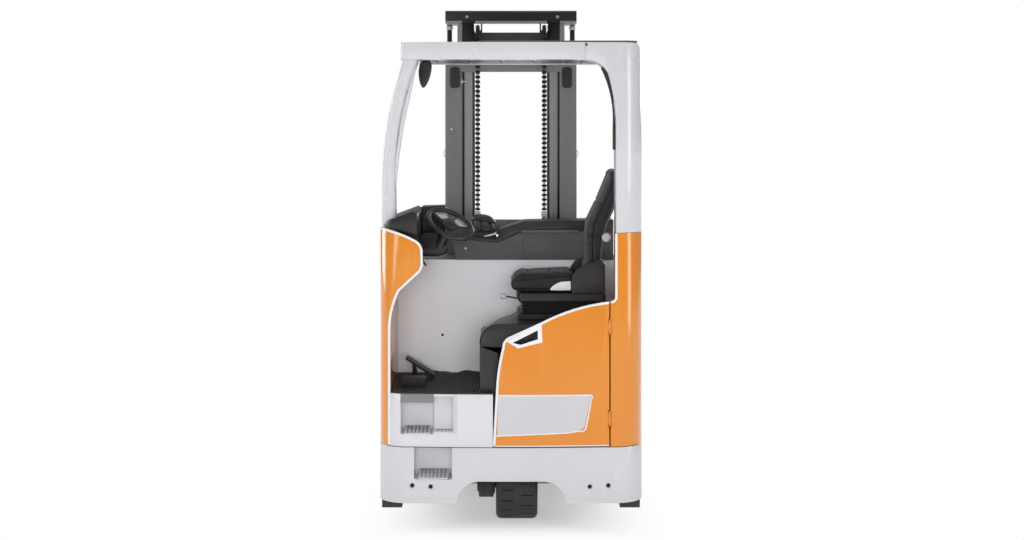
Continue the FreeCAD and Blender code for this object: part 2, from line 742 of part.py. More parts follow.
def head_pads(side, wall, back, front, top):
    """Plastic pads between the flanges of two stages, at the head of the outer of them."""
    pads = []
    for name, sign in SIDES:
        x = span(sign, f"{side} - 24", f"{side} - 2")
        for y in ((f"{back} + {wall}", f"{back} + {wall} + rail_play - fit"),
                  (f"{front} - {wall} - rail_play + fit", f"{front} - {wall}")):
            pads.append(block(x, y, (f"{top} - 120", f"{top} - 20")))
    return pads


def outer_mast():
    rails = rail_pair("outer_side", "rail", "outer_back", "outer_front", "92", "mast_foot",
                      "outer_top")
    bars = [cross_bar(half, ("outer_back - 16", "outer_back"), z)
            for half, z in (("outer_side - 58", ("outer_top - 115", "outer_top - 74")),
                            ("outer_side", ("anchor_bar", "anchor_bar + 80")),
                            ("outer_side", ("mast_foot + 40", "mast_foot + 200")))]
    anchors = [block(span(sign, "chain_x - 12", "chain_x + 12"),
                     ("outer_back - 48", "outer_back - 16"),
                     ("anchor_bar + 40", "anchor_bar + 126")) for name, sign in SIDES]
    pads = head_pads("middle_side", "rail", "outer_back", "outer_front", "outer_top")
    keep(fuse(*rails, *bars, *anchors, *pads), "outer_mast")
    covers = []
    for name, sign in SIDES:
        cover = block(span(sign, "outer_side - 79", "outer_side - 26"),
                      ("outer_back - 24", "outer_back - 16"),
                      ("outer_top - 202", "outer_top - 89"))
        seat = block(span(sign, "outer_side - 70", "outer_side - 34"),
                     ("outer_back - 17", "outer_back"), ("outer_top - 180", "outer_top - 120"))
        covers.append(fuse(soften(cover, "16", along("y")), seat))
    keep(together(*covers), "mast_brackets")


def middle_mast():
    rails = rail_pair("middle_side", "inner_rail", "middle_back", "middle_front", "90",
                      "mast_foot + 12", "middle_top")
    head_front = "inner_back - 8"
    level = ("middle_top", "middle_top + crosshead")
    head = profile("x", [("outer_back - 20", level[0]), (head_front, level[0]),
                         (head_front, level[1]), ("outer_back - 20", level[1])],
                   "-outer_side", "outer_side",
                   [("14", [("outer_back - 20", level[1]), (head_front, level[1])])])
    arms = [block(span(sign, "middle_side + 6", "outer_side"),
                  ("outer_back", "outer_front + 44"), ("middle_top", "middle_top + 40"))
            for name, sign in SIDES]
    foot = cross_bar("middle_side - 90 + 5", ("middle_back", "middle_back + 8"),
                     ("mast_foot + 12", "mast_foot + 92"))
    pads = head_pads("inner_side", "inner_rail", "middle_back", "middle_front",
                     "middle_top - 60")
    keep(fuse(*rails, head, *arms, foot, *pads), "middle_mast")


def inner_mast():
    rails = rail_pair("inner_side", "inner_rail", "inner_back", "inner_front", "32",
                      "mast_foot + 24", "inner_top")
    bars = [cross_bar("inner_side - 30", ("inner_back", "inner_back + inner_rail"), z)
            for z in (("inner_top - 70", "inner_top - 10"), ("mast_foot + 110",
                                                             "mast_foot + 190"))]
    keep(fuse(*rails, *bars), "inner_mast")


def mast_rollers():
    """A pair of rollers at the foot of each moving stage, in the channel of the stage
    outside it."""
    for node, x_low, x_high, back, front, wall, level in (
            ("middle_rollers", "middle_side", "outer_side - rail - 4", "outer_back",
             "outer_front", "rail", "mast_foot + 90"),
            ("inner_rollers", "inner_side", "middle_side - inner_rail - 4", "middle_back",
             "middle_front", "inner_rail", "mast_foot + 110")):
        radius = f"(({front}) - ({back})) / 2 - {wall} - fit"
        middle = f"(({back}) + ({front})) / 2"
        keep(together(*[rod("x", radius, *span(sign, x_low, x_high), middle, level)
                        for name, sign in SIDES]), node)


def lift_cylinders():
    """Two cylinders in front of the outer rails; their rods carry the crosshead."""
    y = "outer_front + 26"
    barrels, rods = [], []
    for name, sign in SIDES:
        x = f"{sign} * (outer_side - 16)"
        barrel = cut(rod("z", "24", "mast_foot + 10", "outer_top - 150", x, y),
                     rod("z", "14 + fit", "mast_foot + 36", "outer_top - 140", x, y))
        clip = block(span(sign, "outer_side - 40", "outer_side - 4"),
                     ("outer_front", "outer_front + 4"), ("mast_foot + 20", "mast_foot + 120"))
        barrels.append(fuse(barrel, clip))
        rods.append(rod("z", "14", "mast_foot + 40", "middle_top", x, y))
    keep(together(*barrels), "lift_cylinders")
    keep(together(*rods), "lift_rods")


def chains():
    """Leaf chains over the crosshead's pulleys, down to the outer and the inner stage."""
    pulleys, strands = [], []
    y, z, radius = "outer_back - 10", "middle_top - 44", "30"
    for name, sign in SIDES:
        pulley = rod("x", f"{radius} + 4", *span(sign, "chain_x - 11", "chain_x + 11"), y, z)
        groove = cut(rod("x", "60", *span(sign, "chain_x - 8", "chain_x + 8"), y, z),
                     rod("x", f"{radius} - 5 - fit", *span(sign, "chain_x - 9", "chain_x + 9"), y, z))
        bracket = block(span(sign, "chain_x - 25", "chain_x - 17"), (f"{y} - 18", f"{y} + 18"),
                        (f"{z} - 14", "middle_top"))
        pin = rod("x", "9", *span(sign, "chain_x - 18", "chain_x - 10"), y, z)
        pulleys.append(fuse(cut(pulley, groove), bracket, pin))
        ring = cut(rod("x", f"{radius} + 5", *span(sign, "chain_x - 7", "chain_x + 7"), y, z),
                   rod("x", f"{radius} - 5", *span(sign, "chain_x - 8", "chain_x + 8"), y, z),
                   block(span(sign, "chain_x - 19", "chain_x + 21"), (f"{y} - 60", f"{y} + 60"),
                         (f"{z} - 60", z)))
        strand = span(sign, "chain_x - 7", "chain_x + 7")
        back = block(strand, (f"{y} - {radius} - 5", f"{y} - {radius} + 5"),
                     ("anchor_bar + 132", z))
        front = block(strand, (f"{y} + {radius} - 5", f"{y} + {radius} + 5"),
                      ("mast_foot + 150", z))
        strands.append(fuse(ring, back, front))
    keep(together(*pulleys), "chain_pulleys")
    keep(together(*strands), "lift_chains")


outer_mast()
middle_mast()
inner_mast()
mast_rollers()
lift_cylinders()
chains()


def reach_carriage():
    """Side plates with rollers that run in the legs' tracks and carry the outer rails."""
    plates, rollers = [], []
    for name, sign in SIDES:
        plate = block(span(sign, "leg_in - 25", "leg_in - 5"),
                      ("frame_front + 9", "outer_front + 5"), ("mast_foot", "leg_top - 10"))
        webs = [block(span(sign, "outer_side", "leg_in - 25"), y, ("mast_foot", "leg_top - 10"))
                for y in (("outer_back", "outer_back + 16"),
                          ("outer_front - 16", "outer_front"))]
        plates.append(fuse(plate, *webs))
        for y in ("frame_front + 54", "frame_front + 156"):
            wheel = rod("x", "track_height / 2 - fit",
                        *span(sign, "leg_in - 5", "leg_in + track_width - 4"), y,
                        "track_bottom + track_height / 2")
            rollers.append(wheel)
    keep(together(*[fuse(plate, *rollers[2 * i:2 * i + 2]) for i, plate in enumerate(plates)]),
         "reach_carriage")


reach_carriage()


# ---------------------------------------------------------------- fork carriage
def lift_carriage():
    """Side plates with rollers in the inner rails, bars, and the lugs of the tilt pin."""
    low, high = "mast_foot + 34", "mast_foot + 34 + carriage_height"
    parts, rollers = [], []
    middle = "(inner_back + inner_front) / 2"
    front = "outer_front + 32"
    for name, sign in SIDES:
        parts.append(block(span(sign, "plate_side - 16", "plate_side"),
                           ("inner_back + 32", front), (low, high)))
        parts.append(block(span(sign, "plate_side - 64", "plate_side - 40"), (front, "tilt_back - 6"),
                           (low, "150 + 22")))
        for level in (f"{low} + 60", f"{high} - 60"):
            rollers.append(rod("x", "(inner_front - inner_back) / 2 - inner_rail - fit",
                               *span(sign, "plate_side", "inner_side - inner_rail - 4"),
                               middle, level))
    for z in ((low, f"{low} + 80"), (f"{high} - 80", high)):
        parts.append(cross_bar("plate_side", (f"{front} - 14", front), z))
    parts.append(rod("x", "10", "-(plate_side - 14)", "plate_side - 14", "tilt_back - 20", "150"))
    keep(fuse(*parts, *rollers), "lift_carriage")


def tilt_frame():
    """Plate that swings on the tilt pin and guides the shifted frame."""
    plate = block(("-fork_spread - 44", "fork_spread + 44"), ("tilt_back", "tilt_back + 20"),
                  ("120", "520"))
    window = block(("-110", "110"), ("tilt_back - 5", "tilt_back + 25"), ("210", "450"))
    ears = []
    for name, sign in SIDES:
        width = span(sign, "plate_side - 36", "plate_side - 18")
        through = span(sign, "plate_side - 40", "plate_side - 14")
        ear = fuse(block(width, ("tilt_back - 20", "tilt_back"), ("135", "165")),
                   rod("x", "15", *width, "tilt_back - 20", "150"))
        ears.append(cut(ear, rod("x", "10 + fit", *through, "tilt_back - 20", "150")))
    pads = [block(("-fork_spread - 40", "fork_spread + 40"), ("tilt_back + 20", "shift_back - fit"), z)
            for z in (("130", "170"), ("470", "510"))]
    keep(fuse(cut(plate, window), *ears, *pads), "tilt_frame")


def side_shift_frame():
    bars = [cross_bar("carriage_width / 2", ("shift_back", "fork_back"), z)
            for z in (("118", "198"), ("444", "524"))]
    posts = [block(span(sign, "carriage_width / 2 - 60", "carriage_width / 2"),
                   ("shift_back", "fork_back"), ("190", "450")) for name, sign in SIDES]
    keep(fuse(*bars, *posts), "side_shift_frame")


def fork(name, sign):
    """Forged L fork: shank, round heel, blade tapering to its tip."""
    heel = "55"
    side_view = [("fork_back", f"fork_bottom + {heel}"),
                 (f"fork_back + 16", "fork_bottom + 16", f"fork_back + {heel}", "fork_bottom"),
                 ("truck_length", "fork_bottom"), ("truck_length", "fork_bottom + 11"),
                 ("truck_length - 480", "fork_top"), ("fork_face + 18", "fork_top"),
                 ("fork_face + 5", "fork_top + 5", "fork_face", "fork_top + 18"),
                 ("fork_face", "560"), ("fork_back", "560")]
    x = span(sign, "fork_spread - fork_width / 2", "fork_spread + fork_width / 2")
    low, high = x
    plan = [(low, "fork_back - 5"), (high, "fork_back - 5"), (high, "truck_length - 90"),
            (f"{high} - 12", "truck_length - 26", f"{high} - 34", "truck_length"),
            (f"{low} + 34", "truck_length"),
            (f"{low} + 12", "truck_length - 26", low, "truck_length - 90")]
    keep(common(profile("x", side_view, low, high), profile("z", plan, "0", "600")),
         f"{name}_fork")


lift_carriage()
tilt_frame()
side_shift_frame()
for name, sign in SIDES:
    fork(name, sign)


# ---------------------------------------------------------------- driver's place
def pedals():
    x, z = "-panel_in + 35", "floor_level"
    inclined = profile("y", [(f"{x} + 16", f"{z} + 109"), (f"{x} + 23", f"{z} + 115"),
                             (f"{x} + 166", f"{z} + 26"), (f"{x} + 166", f"{z} + 18"),
                             (f"{x} + 158", f"{z} + 16")], "430", "540")
    leg = profile("y", [(f"{x} + 50", f"{z} + 8"), (f"{x} + 80", f"{z} + 8"),
                        (f"{x} + 66", f"{z} + 80"), (f"{x} + 50", f"{z} + 90")], "470", "500")
    foot = soften(block((f"{x} + 12", f"{x} + 130"), ("190", "300"),
                        (f"{z} + 8", f"{z} + 48")), "12", along("y"))
    keep(together(fuse(inclined, leg), foot), "pedals")


def console():
    end, z = "column_in + 26", "hood_top"
    outline = [("-284", z), ("-306", f"{z} + 114"), ("-72", f"{z} + 90"), ("60", f"{z} + 146"),
               (end, f"{z} + 150"), (end, z)]
    front = "seat_y + seat_width / 2"
    body = profile("y", outline, f"{front} + 17", "940")
    arm = soften(block(("50", "352"), (f"{front} + 2", f"{front} + 17"),
                       (f"{z} + 139", f"{z} + 157")), "8", along("y"))
    keep(fuse(body, arm), "console")
    tray = profile("y", [("-296", f"{z} + 114.3"), ("-290", f"{z} + 130"), ("-70", f"{z} + 106"),
                         ("-60", f"{z} + 158"), ("72", f"{z} + 200"), (end, f"{z} + 208"),
                         (end, f"{z} + 150.3"), ("60", f"{z} + 146.3"), ("-72", f"{z} + 90.2")],
                   f"{front} + 17", "860")
    keep(cut(tray, body), "console_tray")


def control_levers():
    z = "hood_top"
    base = profile("y", [("-212", f"{z} + 68"), ("-212", f"{z} + 160"), ("-150", f"{z} + 180"),
                         ("-74", f"{z} + 150"), ("-74", f"{z} + 68")], "672", "780")
    places = (("-188", "700"), ("-156", "726"), ("-124", "752"))
    knobs = [rod("z", "7", f"{z} + 158", f"{z} + 214", *place) for place in places]
    caps = [rod("z", "15", f"{z} + 208", f"{z} + 230", *place) for place in places]
    tray = profile("y", [("-300", f"{z} + 68"), ("-296", f"{z} + 114.3"), ("-290", f"{z} + 130"),
                         ("-70", f"{z} + 106"), ("-72", f"{z} + 68")], "600", "900")
    keep(cut(fuse(base, *knobs, *caps), tray), "control_levers")


def dashboard():
    """Moulded dash: a body behind the side panel, and a top that laps over its edge."""
    x, z = "-half_width", "panel_head"
    body = profile("y", [("-panel_in", f"{z} - 183"), (f"{x} + 155", f"{z} - 183"),
                         (f"{x} + 180", f"{z} - 143"), (f"{x} + 180", f"{z} - 13"),
                         ("-panel_in", f"{z} - 13")], "70", "650")
    body = common(plan_skin(f"{z} - 233", f"{z} + 67", "half_width - panel_in + fit"), body)
    top = profile("y", [(f"{x} + 6", f"{z} + 7"), ("-panel_in", f"{z} - 1"),
                        (f"{x} + 183", f"{z} - 37"), (f"{x} + 183", f"{z} + 69"),
                        (f"{x} + 155", f"{z} + 81"), (f"{x} + 39", f"{z} + 37")], "60", "650")
    top = common(plan_skin(f"{z} - 133", f"{z} + 167", "6"), top)
    far = profile("y", [(f"{x} + 180", f"{z} - 73"), (f"{x} + 313", f"{z} - 41"),
                        (f"{x} + 313", f"{z} + 67"), (f"{x} + 295", f"{z} + 86"),
                        (f"{x} + 180", f"{z} + 83")], "500", "650")
    socket = block((x, f"{x} + 83"), ("104", "202"), (f"{z} - 53", f"{z} + 97"))
    keep(cut(fuse(body, top, far), socket), "dashboard")


WHEEL_AXIS = FreeCAD.Vector(0.40, -0.42, 0.816)
WHEEL_TURN = FreeCAD.Rotation(FreeCAD.Vector(0, 0, 1), WHEEL_AXIS)
WHEEL_HUB = ("-half_width + 332", "330", "panel_head + 4")


def on_wheel_axis(thing):
    """Stands a piece, made upright at the origin, on the steering wheel's axis."""
    thing.Placement = FreeCAD.Placement(FreeCAD.Vector(), WHEEL_TURN)
    for axis, text in zip("xyz", WHEEL_HUB):
        bind(thing, "Placement.Base." + axis, ("rear + " if axis == "y" else "") + text)
    return thing


def steering():
    grip = [(f"wheel_rim + {a}", b) for a, b in (
        (12, "-4"), (12, "4"), (5, "11"), (-5, "11"), (-12, "4"), (-12, "-4"), (-5, "-11"),
        (5, "-11"))]
    rim = turned(grip)
    hub = turned([("0", "-26"), ("34", "-26"), ("40", "-12"), ("40", "2"), ("26", "12"),
                  ("0", "14")])
    spokes = []
    for angle in (25, 155, 270):
        spoke = doc.addObject("Part::Box", "Spoke")
        bind(spoke, "Length", "wheel_rim - 30")
        spoke.Width, spoke.Height = 34, 10
        turn = FreeCAD.Rotation(FreeCAD.Vector(0, 0, 1), angle)
        spoke.Placement = FreeCAD.Placement(turn.multVec(FreeCAD.Vector(30, -17, -10)), turn)
        spokes.append(spoke)
    keep(on_wheel_axis(fuse(rim, hub, *spokes)), "steering_wheel")
    column = turned([("0", "-160"), ("30", "-160"), ("30", "-60"), ("22", "-26 - fit"),
                     ("0", "-26 - fit")])
    on_wheel_axis(column)
    shroud = soften(block(("-half_width + 180", "-half_width + 313"), ("360", "490"),
                          ("panel_head - 141", "panel_head - 43")), "24", along("y"))
    keep(fuse(column, shroud), "steering_column")


def seat():
    back, front = "seat_y - seat_width / 2", "seat_y + seat_width / 2"
    x = ("seat_x - 144", "seat_x + 290")
    base = block(x, (f"{back} + 30", f"{front} - 30"), ("seat_rail", "seat_rail + 26"))
    bellows = block(("seat_x - 126", "seat_x + 260"), (f"{back} + 50", f"{front} - 50"),
                    ("seat_rail + 26", "seat_plate - 42"))
    plate = profile("y", [(x[0], "seat_plate - 42"), (x[1], "seat_plate - 42"),
                          (x[1], "seat_plate"), (f"{x[0]} + 8", "seat_plate"),
                          (f"{x[0]} - 6", "seat_plate - 12")], f"{back} + 16", f"{front} - 16")
    lever = rod("x", "5", "seat_x - 200", "seat_x - 140", f"{back} + 60", "seat_plate - 22")
    knob = rod("x", "14", "seat_x - 232", "seat_x - 198", f"{back} + 60", "seat_plate - 22")
    keep(fuse(base, bellows, plate, lever, knob), "seat_base")
    foot = "seat_plate + fit"
    cushion = profile("y", [("seat_x - 180", "seat_plate + 24"), ("seat_x - 160", foot),
                            ("seat_x + 150", foot), ("seat_x + 160", "seat_plate + 100"),
                            ("seat_x - 110", "seat_plate + 114"),
                            ("seat_x - 180", "seat_plate + 84")],
                      f"{back} + 20", f"{front} - 20")
    keep(cushion, "seat_cushion")
    rest = profile("y", [("seat_x + 166", foot), ("seat_x + 166", "seat_plate + 120"),
                         ("seat_x + 138", "seat_plate + 130"),
                         ("seat_x + 150", "seat_plate + 190"), ("seat_x + 174", "seat_plate + 273"),
                         ("seat_x + 188", "seat_plate + 349"), ("seat_x + 243", "seat_plate + 468"),
                         ("seat_x + 300", "seat_plate + 592"), ("seat_x + 330", "seat_plate + 622"),
                         ("seat_x + 376", "seat_plate + 612"), ("seat_x + 396", "seat_plate + 576"),
                         ("seat_x + 330", "seat_plate + 396"), ("seat_x + 282", "seat_plate + 273"),
                         ("seat_x + 276", foot)], f"{back} + 24", f"{front} - 24")
    keep(rest, "seat_backrest")
    cover = [("seat_x + 122", "seat_plate"), ("seat_x + 286", "seat_plate"),
             ("seat_x + 286", "seat_plate + 140"), ("seat_x + 264", "seat_plate + 172"),
             ("seat_x + 206", "seat_plate + 148"), ("seat_x + 150", "seat_plate + 124"),
             ("seat_x + 122", "seat_plate + 80")]
    keep(together(profile("y", cover, f"{back} + 1", f"{back} + 19"),
                  profile("y", cover, f"{front} - 19", f"{front} - 1")), "recliner_cover")


def mirror():
    x, z = "-half_width", "guard_under"
    shell = profile("y", [(f"{x} + 190", f"{z} + 4"), (f"{x} + 227", f"{z} + 4"),
                          (f"{x} + 239", f"{z} - 46"),
                          (f"{x} + 231", f"{z} - 106", f"{x} + 211", f"{z} - 132"),
                          (f"{x} + 183", f"{z} - 106", f"{x} + 175", f"{z} - 46")],
                    "240", "262")
    keep(shell, "mirror")


pedals()
console()
control_levers()
dashboard()
steering()
seat()
mirror()

# ---------------------------------------------------------------- checks and export
doc.recompute()
for thing in doc.Objects:
    if "Invalid" in thing.State or "Error" in thing.State:
        raise RuntimeError(f"{thing.Name} ({thing.Label}) failed: {thing.State}")
for thing in kept:
    if thing.Shape.isNull() or not thing.Shape.isValid() or not thing.Shape.Solids:
        raise RuntimeError(f"{thing.Label} has no valid shape")
for thing in kept:
    thing.Shape.exportStep(f"parts/{thing.Label}.step")
print(len(kept), "sub-parts")
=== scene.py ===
"""Reach truck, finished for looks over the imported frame.  Metres, +Y forward, +Z up."""
import math
import bmesh
import bpy
from mathutils import Matrix, Vector


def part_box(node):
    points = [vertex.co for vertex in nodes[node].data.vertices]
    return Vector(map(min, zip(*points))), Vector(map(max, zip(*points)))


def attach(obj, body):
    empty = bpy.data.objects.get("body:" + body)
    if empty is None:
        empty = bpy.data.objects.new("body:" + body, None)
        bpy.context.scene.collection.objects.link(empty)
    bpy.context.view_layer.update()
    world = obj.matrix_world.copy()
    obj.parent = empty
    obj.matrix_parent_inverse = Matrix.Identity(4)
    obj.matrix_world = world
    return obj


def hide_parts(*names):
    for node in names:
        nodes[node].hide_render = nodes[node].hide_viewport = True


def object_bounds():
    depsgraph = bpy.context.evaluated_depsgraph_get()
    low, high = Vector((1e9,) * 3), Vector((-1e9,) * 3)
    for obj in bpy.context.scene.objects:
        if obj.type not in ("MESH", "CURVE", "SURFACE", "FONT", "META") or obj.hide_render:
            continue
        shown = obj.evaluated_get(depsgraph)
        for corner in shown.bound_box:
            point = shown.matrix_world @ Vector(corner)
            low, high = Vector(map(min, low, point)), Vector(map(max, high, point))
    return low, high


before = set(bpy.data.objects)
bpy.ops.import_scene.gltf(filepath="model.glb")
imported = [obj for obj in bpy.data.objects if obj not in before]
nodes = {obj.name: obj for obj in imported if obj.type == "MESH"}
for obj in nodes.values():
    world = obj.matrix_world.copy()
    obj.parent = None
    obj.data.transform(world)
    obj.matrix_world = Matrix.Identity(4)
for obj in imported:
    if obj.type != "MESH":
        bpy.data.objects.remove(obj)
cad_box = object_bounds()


# ---------------------------------------------------------------- studio
# A flat white sheet of paper under the truck.  The floor keeps the truck's soft shadow;
# what lies further off, and what the camera and polished metal see of it, is plain white.
def add_node(tree, kind, inputs=None, **settings):
    """A new node with its settings, each input set to a value or joined to a socket."""
    node = tree.nodes.new(kind)
    for name, value in settings.items():
        setattr(node, name, value)
    for name, value in (inputs or {}).items():
        if isinstance(value, bpy.types.NodeSocket):
            tree.links.new(value, node.inputs[name])
        else:
            node.inputs[name].default_value = value
    return node


def object_of(name, data):
    """An object at the origin that holds a mesh, lamp or camera."""
    thing = bpy.data.objects.new(name, data)
    bpy.context.scene.collection.objects.link(thing)
    return thing


def new_mesh_object(name, vertices, faces):
    """An object at the origin from points and faces in the truck's own frame."""
    mesh = bpy.data.meshes.new(name)
    mesh.from_pydata([tuple(v) for v in vertices], [], faces)
    return object_of(name, mesh)


rear_y = cad_box[0].y
floor_depth = 30.0
paper = new_mesh_object("paper", [(-floor_depth, -floor_depth, 0), (floor_depth, -floor_depth, 0),
                                  (floor_depth, floor_depth, 0), (-floor_depth, floor_depth, 0)],
                        [(0, 1, 2, 3)])
paper_white = bpy.data.materials.new("paper_white")
paper_white.use_nodes = True
tree = paper_white.node_tree
tree.nodes.clear()
place = add_node(tree, "ShaderNodeSeparateXYZ",
                 {0: add_node(tree, "ShaderNodeTexCoord").outputs["Object"]})
reach = []
for axis, start, end in (("X", 0.15, 0.80), ("Y", 1.10, 1.50)):
    off = add_node(tree, "ShaderNodeMath", {0: place.outputs[axis]}, operation="ABSOLUTE")
    reach.append(add_node(tree, "ShaderNodeMapRange", {
        "Value": off.outputs[0], "From Min": start, "From Max": end}).outputs["Result"])
reach = add_node(tree, "ShaderNodeMath", {0: reach[0], 1: reach[1]}, operation="MAXIMUM")
far = add_node(tree, "ShaderNodeMapRange", {"Value": reach.outputs[0], "From Min": 0.0,
                                            "From Max": 1.0, "To Min": 0.42},
               interpolation_type="SMOOTHSTEP")
rays = add_node(tree, "ShaderNodeLightPath")
seen = add_node(tree, "ShaderNodeMath", {0: rays.outputs["Is Camera Ray"],
                                         1: rays.outputs["Is Glossy Ray"]}, operation="MAXIMUM")
plain = add_node(tree, "ShaderNodeMath", {0: seen.outputs[0], 1: far.outputs["Result"]},
                 operation="MULTIPLY")
matt = add_node(tree, "ShaderNodeBsdfDiffuse", {"Color": (0.93, 0.93, 0.93, 1)})
white = add_node(tree, "ShaderNodeEmission", {"Color": (1, 1, 1, 1), "Strength": 1.0})
both = add_node(tree, "ShaderNodeMixShader", {0: plain.outputs[0], 1: matt.outputs[0],
                                              2: white.outputs[0]})
add_node(tree, "ShaderNodeOutputMaterial", {"Surface": both.outputs[0]})
paper.data.materials.append(paper_white)

world = bpy.data.worlds.new("studio_air")
bpy.context.scene.world = world
world.use_nodes = True
tree = world.node_tree
tree.nodes.clear()
rays = add_node(tree, "ShaderNodeLightPath")
seen = add_node(tree, "ShaderNodeMath", {0: rays.outputs["Is Camera Ray"],
                                         1: rays.outputs["Is Transmission Ray"]},
                operation="MAXIMUM")
fill = add_node(tree, "ShaderNodeBackground", {"Color": (1, 1, 1, 1), "Strength": 0.36})
white = add_node(tree, "ShaderNodeBackground", {"Color": (1, 1, 1, 1), "Strength": 1.0})
both = add_node(tree, "ShaderNodeMixShader", {0: seen.outputs[0], 1: fill.outputs[0],
                                              2: white.outputs[0]})
add_node(tree, "ShaderNodeOutputWorld", {"Surface": both.outputs[0]})


def softbox(name, place, target, size, power, gleam=True):
    """A rectangular lamp aimed at a point of the truck; without gleam it casts no highlight."""
    lamp = bpy.data.lights.new(name, "AREA")
    lamp.shape = "RECTANGLE"
    lamp.size, lamp.size_y = size
    lamp.energy = power
    thing = object_of(name, lamp)
    thing.location = place
    thing.rotation_mode = "QUATERNION"
    thing.rotation_quaternion = (Vector(target) - Vector(place)).to_track_quat("-Z", "Y")
    thing.visible_glossy = gleam


softbox("rear_left_softbox", (-4.2, rear_y - 3.6, 2.4), (0, -0.6, 0.9), (1.6, 3.0), 56)
softbox("rear_right_softbox", (4.6, rear_y - 1.6, 2.1), (0, -0.6, 0.9), (0.9, 3.2), 52)
softbox("rear_middle_softbox", (0.0, rear_y - 6.5, 1.5), (0, 0, 0.9), (3.0, 1.8), 205,
        gleam=False)
softbox("top_softbox", (0, 0, 5.5), (0, 0, 0), (4.0, 4.5), 70)
softbox("front_softbox", (3.0, 5.5, 3.2), (0, 0.8, 1.0), (2.5, 2.5), 150)
softbox("left_side_softbox", (-5.5, 1.5, 2.4), (0, 0, 1.0), (2.5, 2.5), 110)

camera = bpy.data.cameras.new("rear_camera")
camera.lens = 58.8
camera.sensor_width = 36.0
camera.shift_x = 0.001
camera.shift_y = -0.1465
camera.clip_end = 100
viewer = object_of("rear_camera", camera)
viewer.location = (0, rear_y - 8.0, 1.956)
viewer.rotation_euler = (math.pi / 2, 0, 0)
bpy.context.scene.camera = viewer
bpy.context.scene.view_settings.view_transform = "Standard"


# ---------------------------------------------------------------- frame, steps and cab wall
# Welded steel frame, its two-step entry and the wall to the battery, all sprayed silver grey; the
# wall's grey is painted paler and bluer, painted light that offsets the shade and the orange bounce
# inside the cab.  Folded edges catch the light, and a little dust lies low down where wheels throw it.
def new_group(name, inputs, outputs):
    """A shader node group with named sockets; returns it with its input node."""
    group = bpy.data.node_groups.new(name, "ShaderNodeTree")
    for label, kind, value in inputs:
        socket = group.interface.new_socket(label, in_out="INPUT", socket_type="NodeSocket" + kind)
        socket.default_value = value
    for label, kind in outputs:
        group.interface.new_socket(label, in_out="OUTPUT", socket_type="NodeSocket" + kind)
    return group, add_node(group, "NodeGroupInput")


def noise(tree, vector, scale, detail=3.0, roughness=0.5):
    """Plain noise between 0 and 1 at a scale per metre."""
    made = add_node(tree, "ShaderNodeTexNoise", {"Vector": vector, "Scale": scale,
                                                 "Detail": detail, "Roughness": roughness})
    return made.outputs["Fac"]


def spread(tree, value, low, high, start=0.0, end=1.0):
    """Maps a value from one range to another, and clamps it."""
    return add_node(tree, "ShaderNodeMapRange", {
        "Value": value, "From Min": low, "From Max": high, "To Min": start,
        "To Max": end}).outputs["Result"]


def sum_of(tree, first, second, operation="ADD"):
    """Two numbers joined by one operation."""
    return add_node(tree, "ShaderNodeMath", {0: first, 1: second}, operation=operation).outputs[0]


def mixed(tree, amount, first, second):
    """One colour over another."""
    node = add_node(tree, "ShaderNodeMix", data_type="RGBA")
    for name, value in (("Factor", amount), ("A", first), ("B", second)):
        socket = next(s for s in node.inputs
                      if s.name == name and s.type == ("VALUE" if name == "Factor" else "RGBA"))
        if isinstance(value, bpy.types.NodeSocket):
            tree.links.new(value, socket)
        else:
            socket.default_value = value
    return next(s for s in node.outputs if s.type == "RGBA")


def paint_effects():
    """Orange peel, cloudy tone, faint scuffs, and dust that thins out with height."""
    group, given = new_group("paint_effects", [
        ("Colour", "Color", (0.5, 0.5, 0.5, 1)), ("Dust Colour", "Color", (0.3, 0.27, 0.23, 1)),
        ("Dust", "Float", 0.2), ("Dust Height", "Float", 0.5), ("Gloss Low", "Float", 0.25),
        ("Gloss High", "Float", 0.4), ("Peel", "Float", 1.0)],
        [("Colour", "Color"), ("Roughness", "Float"), ("Height", "Float")])
    place = add_node(group, "ShaderNodeTexCoord").outputs["Object"]
    height = add_node(group, "ShaderNodeSeparateXYZ", {0: place}).outputs["Z"]
    cloud = noise(group, place, 2.4, 4.0)
    grit = noise(group, place, 60.0, 6.0, 0.7)
    tone = mixed(group, spread(group, cloud, 0.2, 0.8, 0.0, 0.06), given.outputs["Colour"],
                 (0.02, 0.02, 0.02, 1))
    low = sum_of(group, height, given.outputs["Dust Height"], "DIVIDE")
    low = spread(group, low, 0.0, 1.0, 1.0, 0.0)
    dust = sum_of(group, low, spread(group, grit, 0.35, 0.75), "MULTIPLY")
    dust = sum_of(group, dust, given.outputs["Dust"], "MULTIPLY")
    colour = mixed(group, dust, tone, given.outputs["Dust Colour"])
    matt = spread(group, noise(group, place, 7.0, 5.0), 0.2, 0.8)
    gloss = sum_of(group, sum_of(group, given.outputs["Gloss High"], given.outputs["Gloss Low"],
                                 "SUBTRACT"), matt, "MULTIPLY")
    gloss = sum_of(group, sum_of(group, gloss, given.outputs["Gloss Low"]),
                   sum_of(group, dust, 0.4, "MULTIPLY"))
    peel = sum_of(group, noise(group, place, 420.0, 2.0), given.outputs["Peel"], "MULTIPLY")
    add_node(group, "NodeGroupOutput", {0: colour, 1: gloss, 2: peel})
    return group


paint_group = paint_effects()


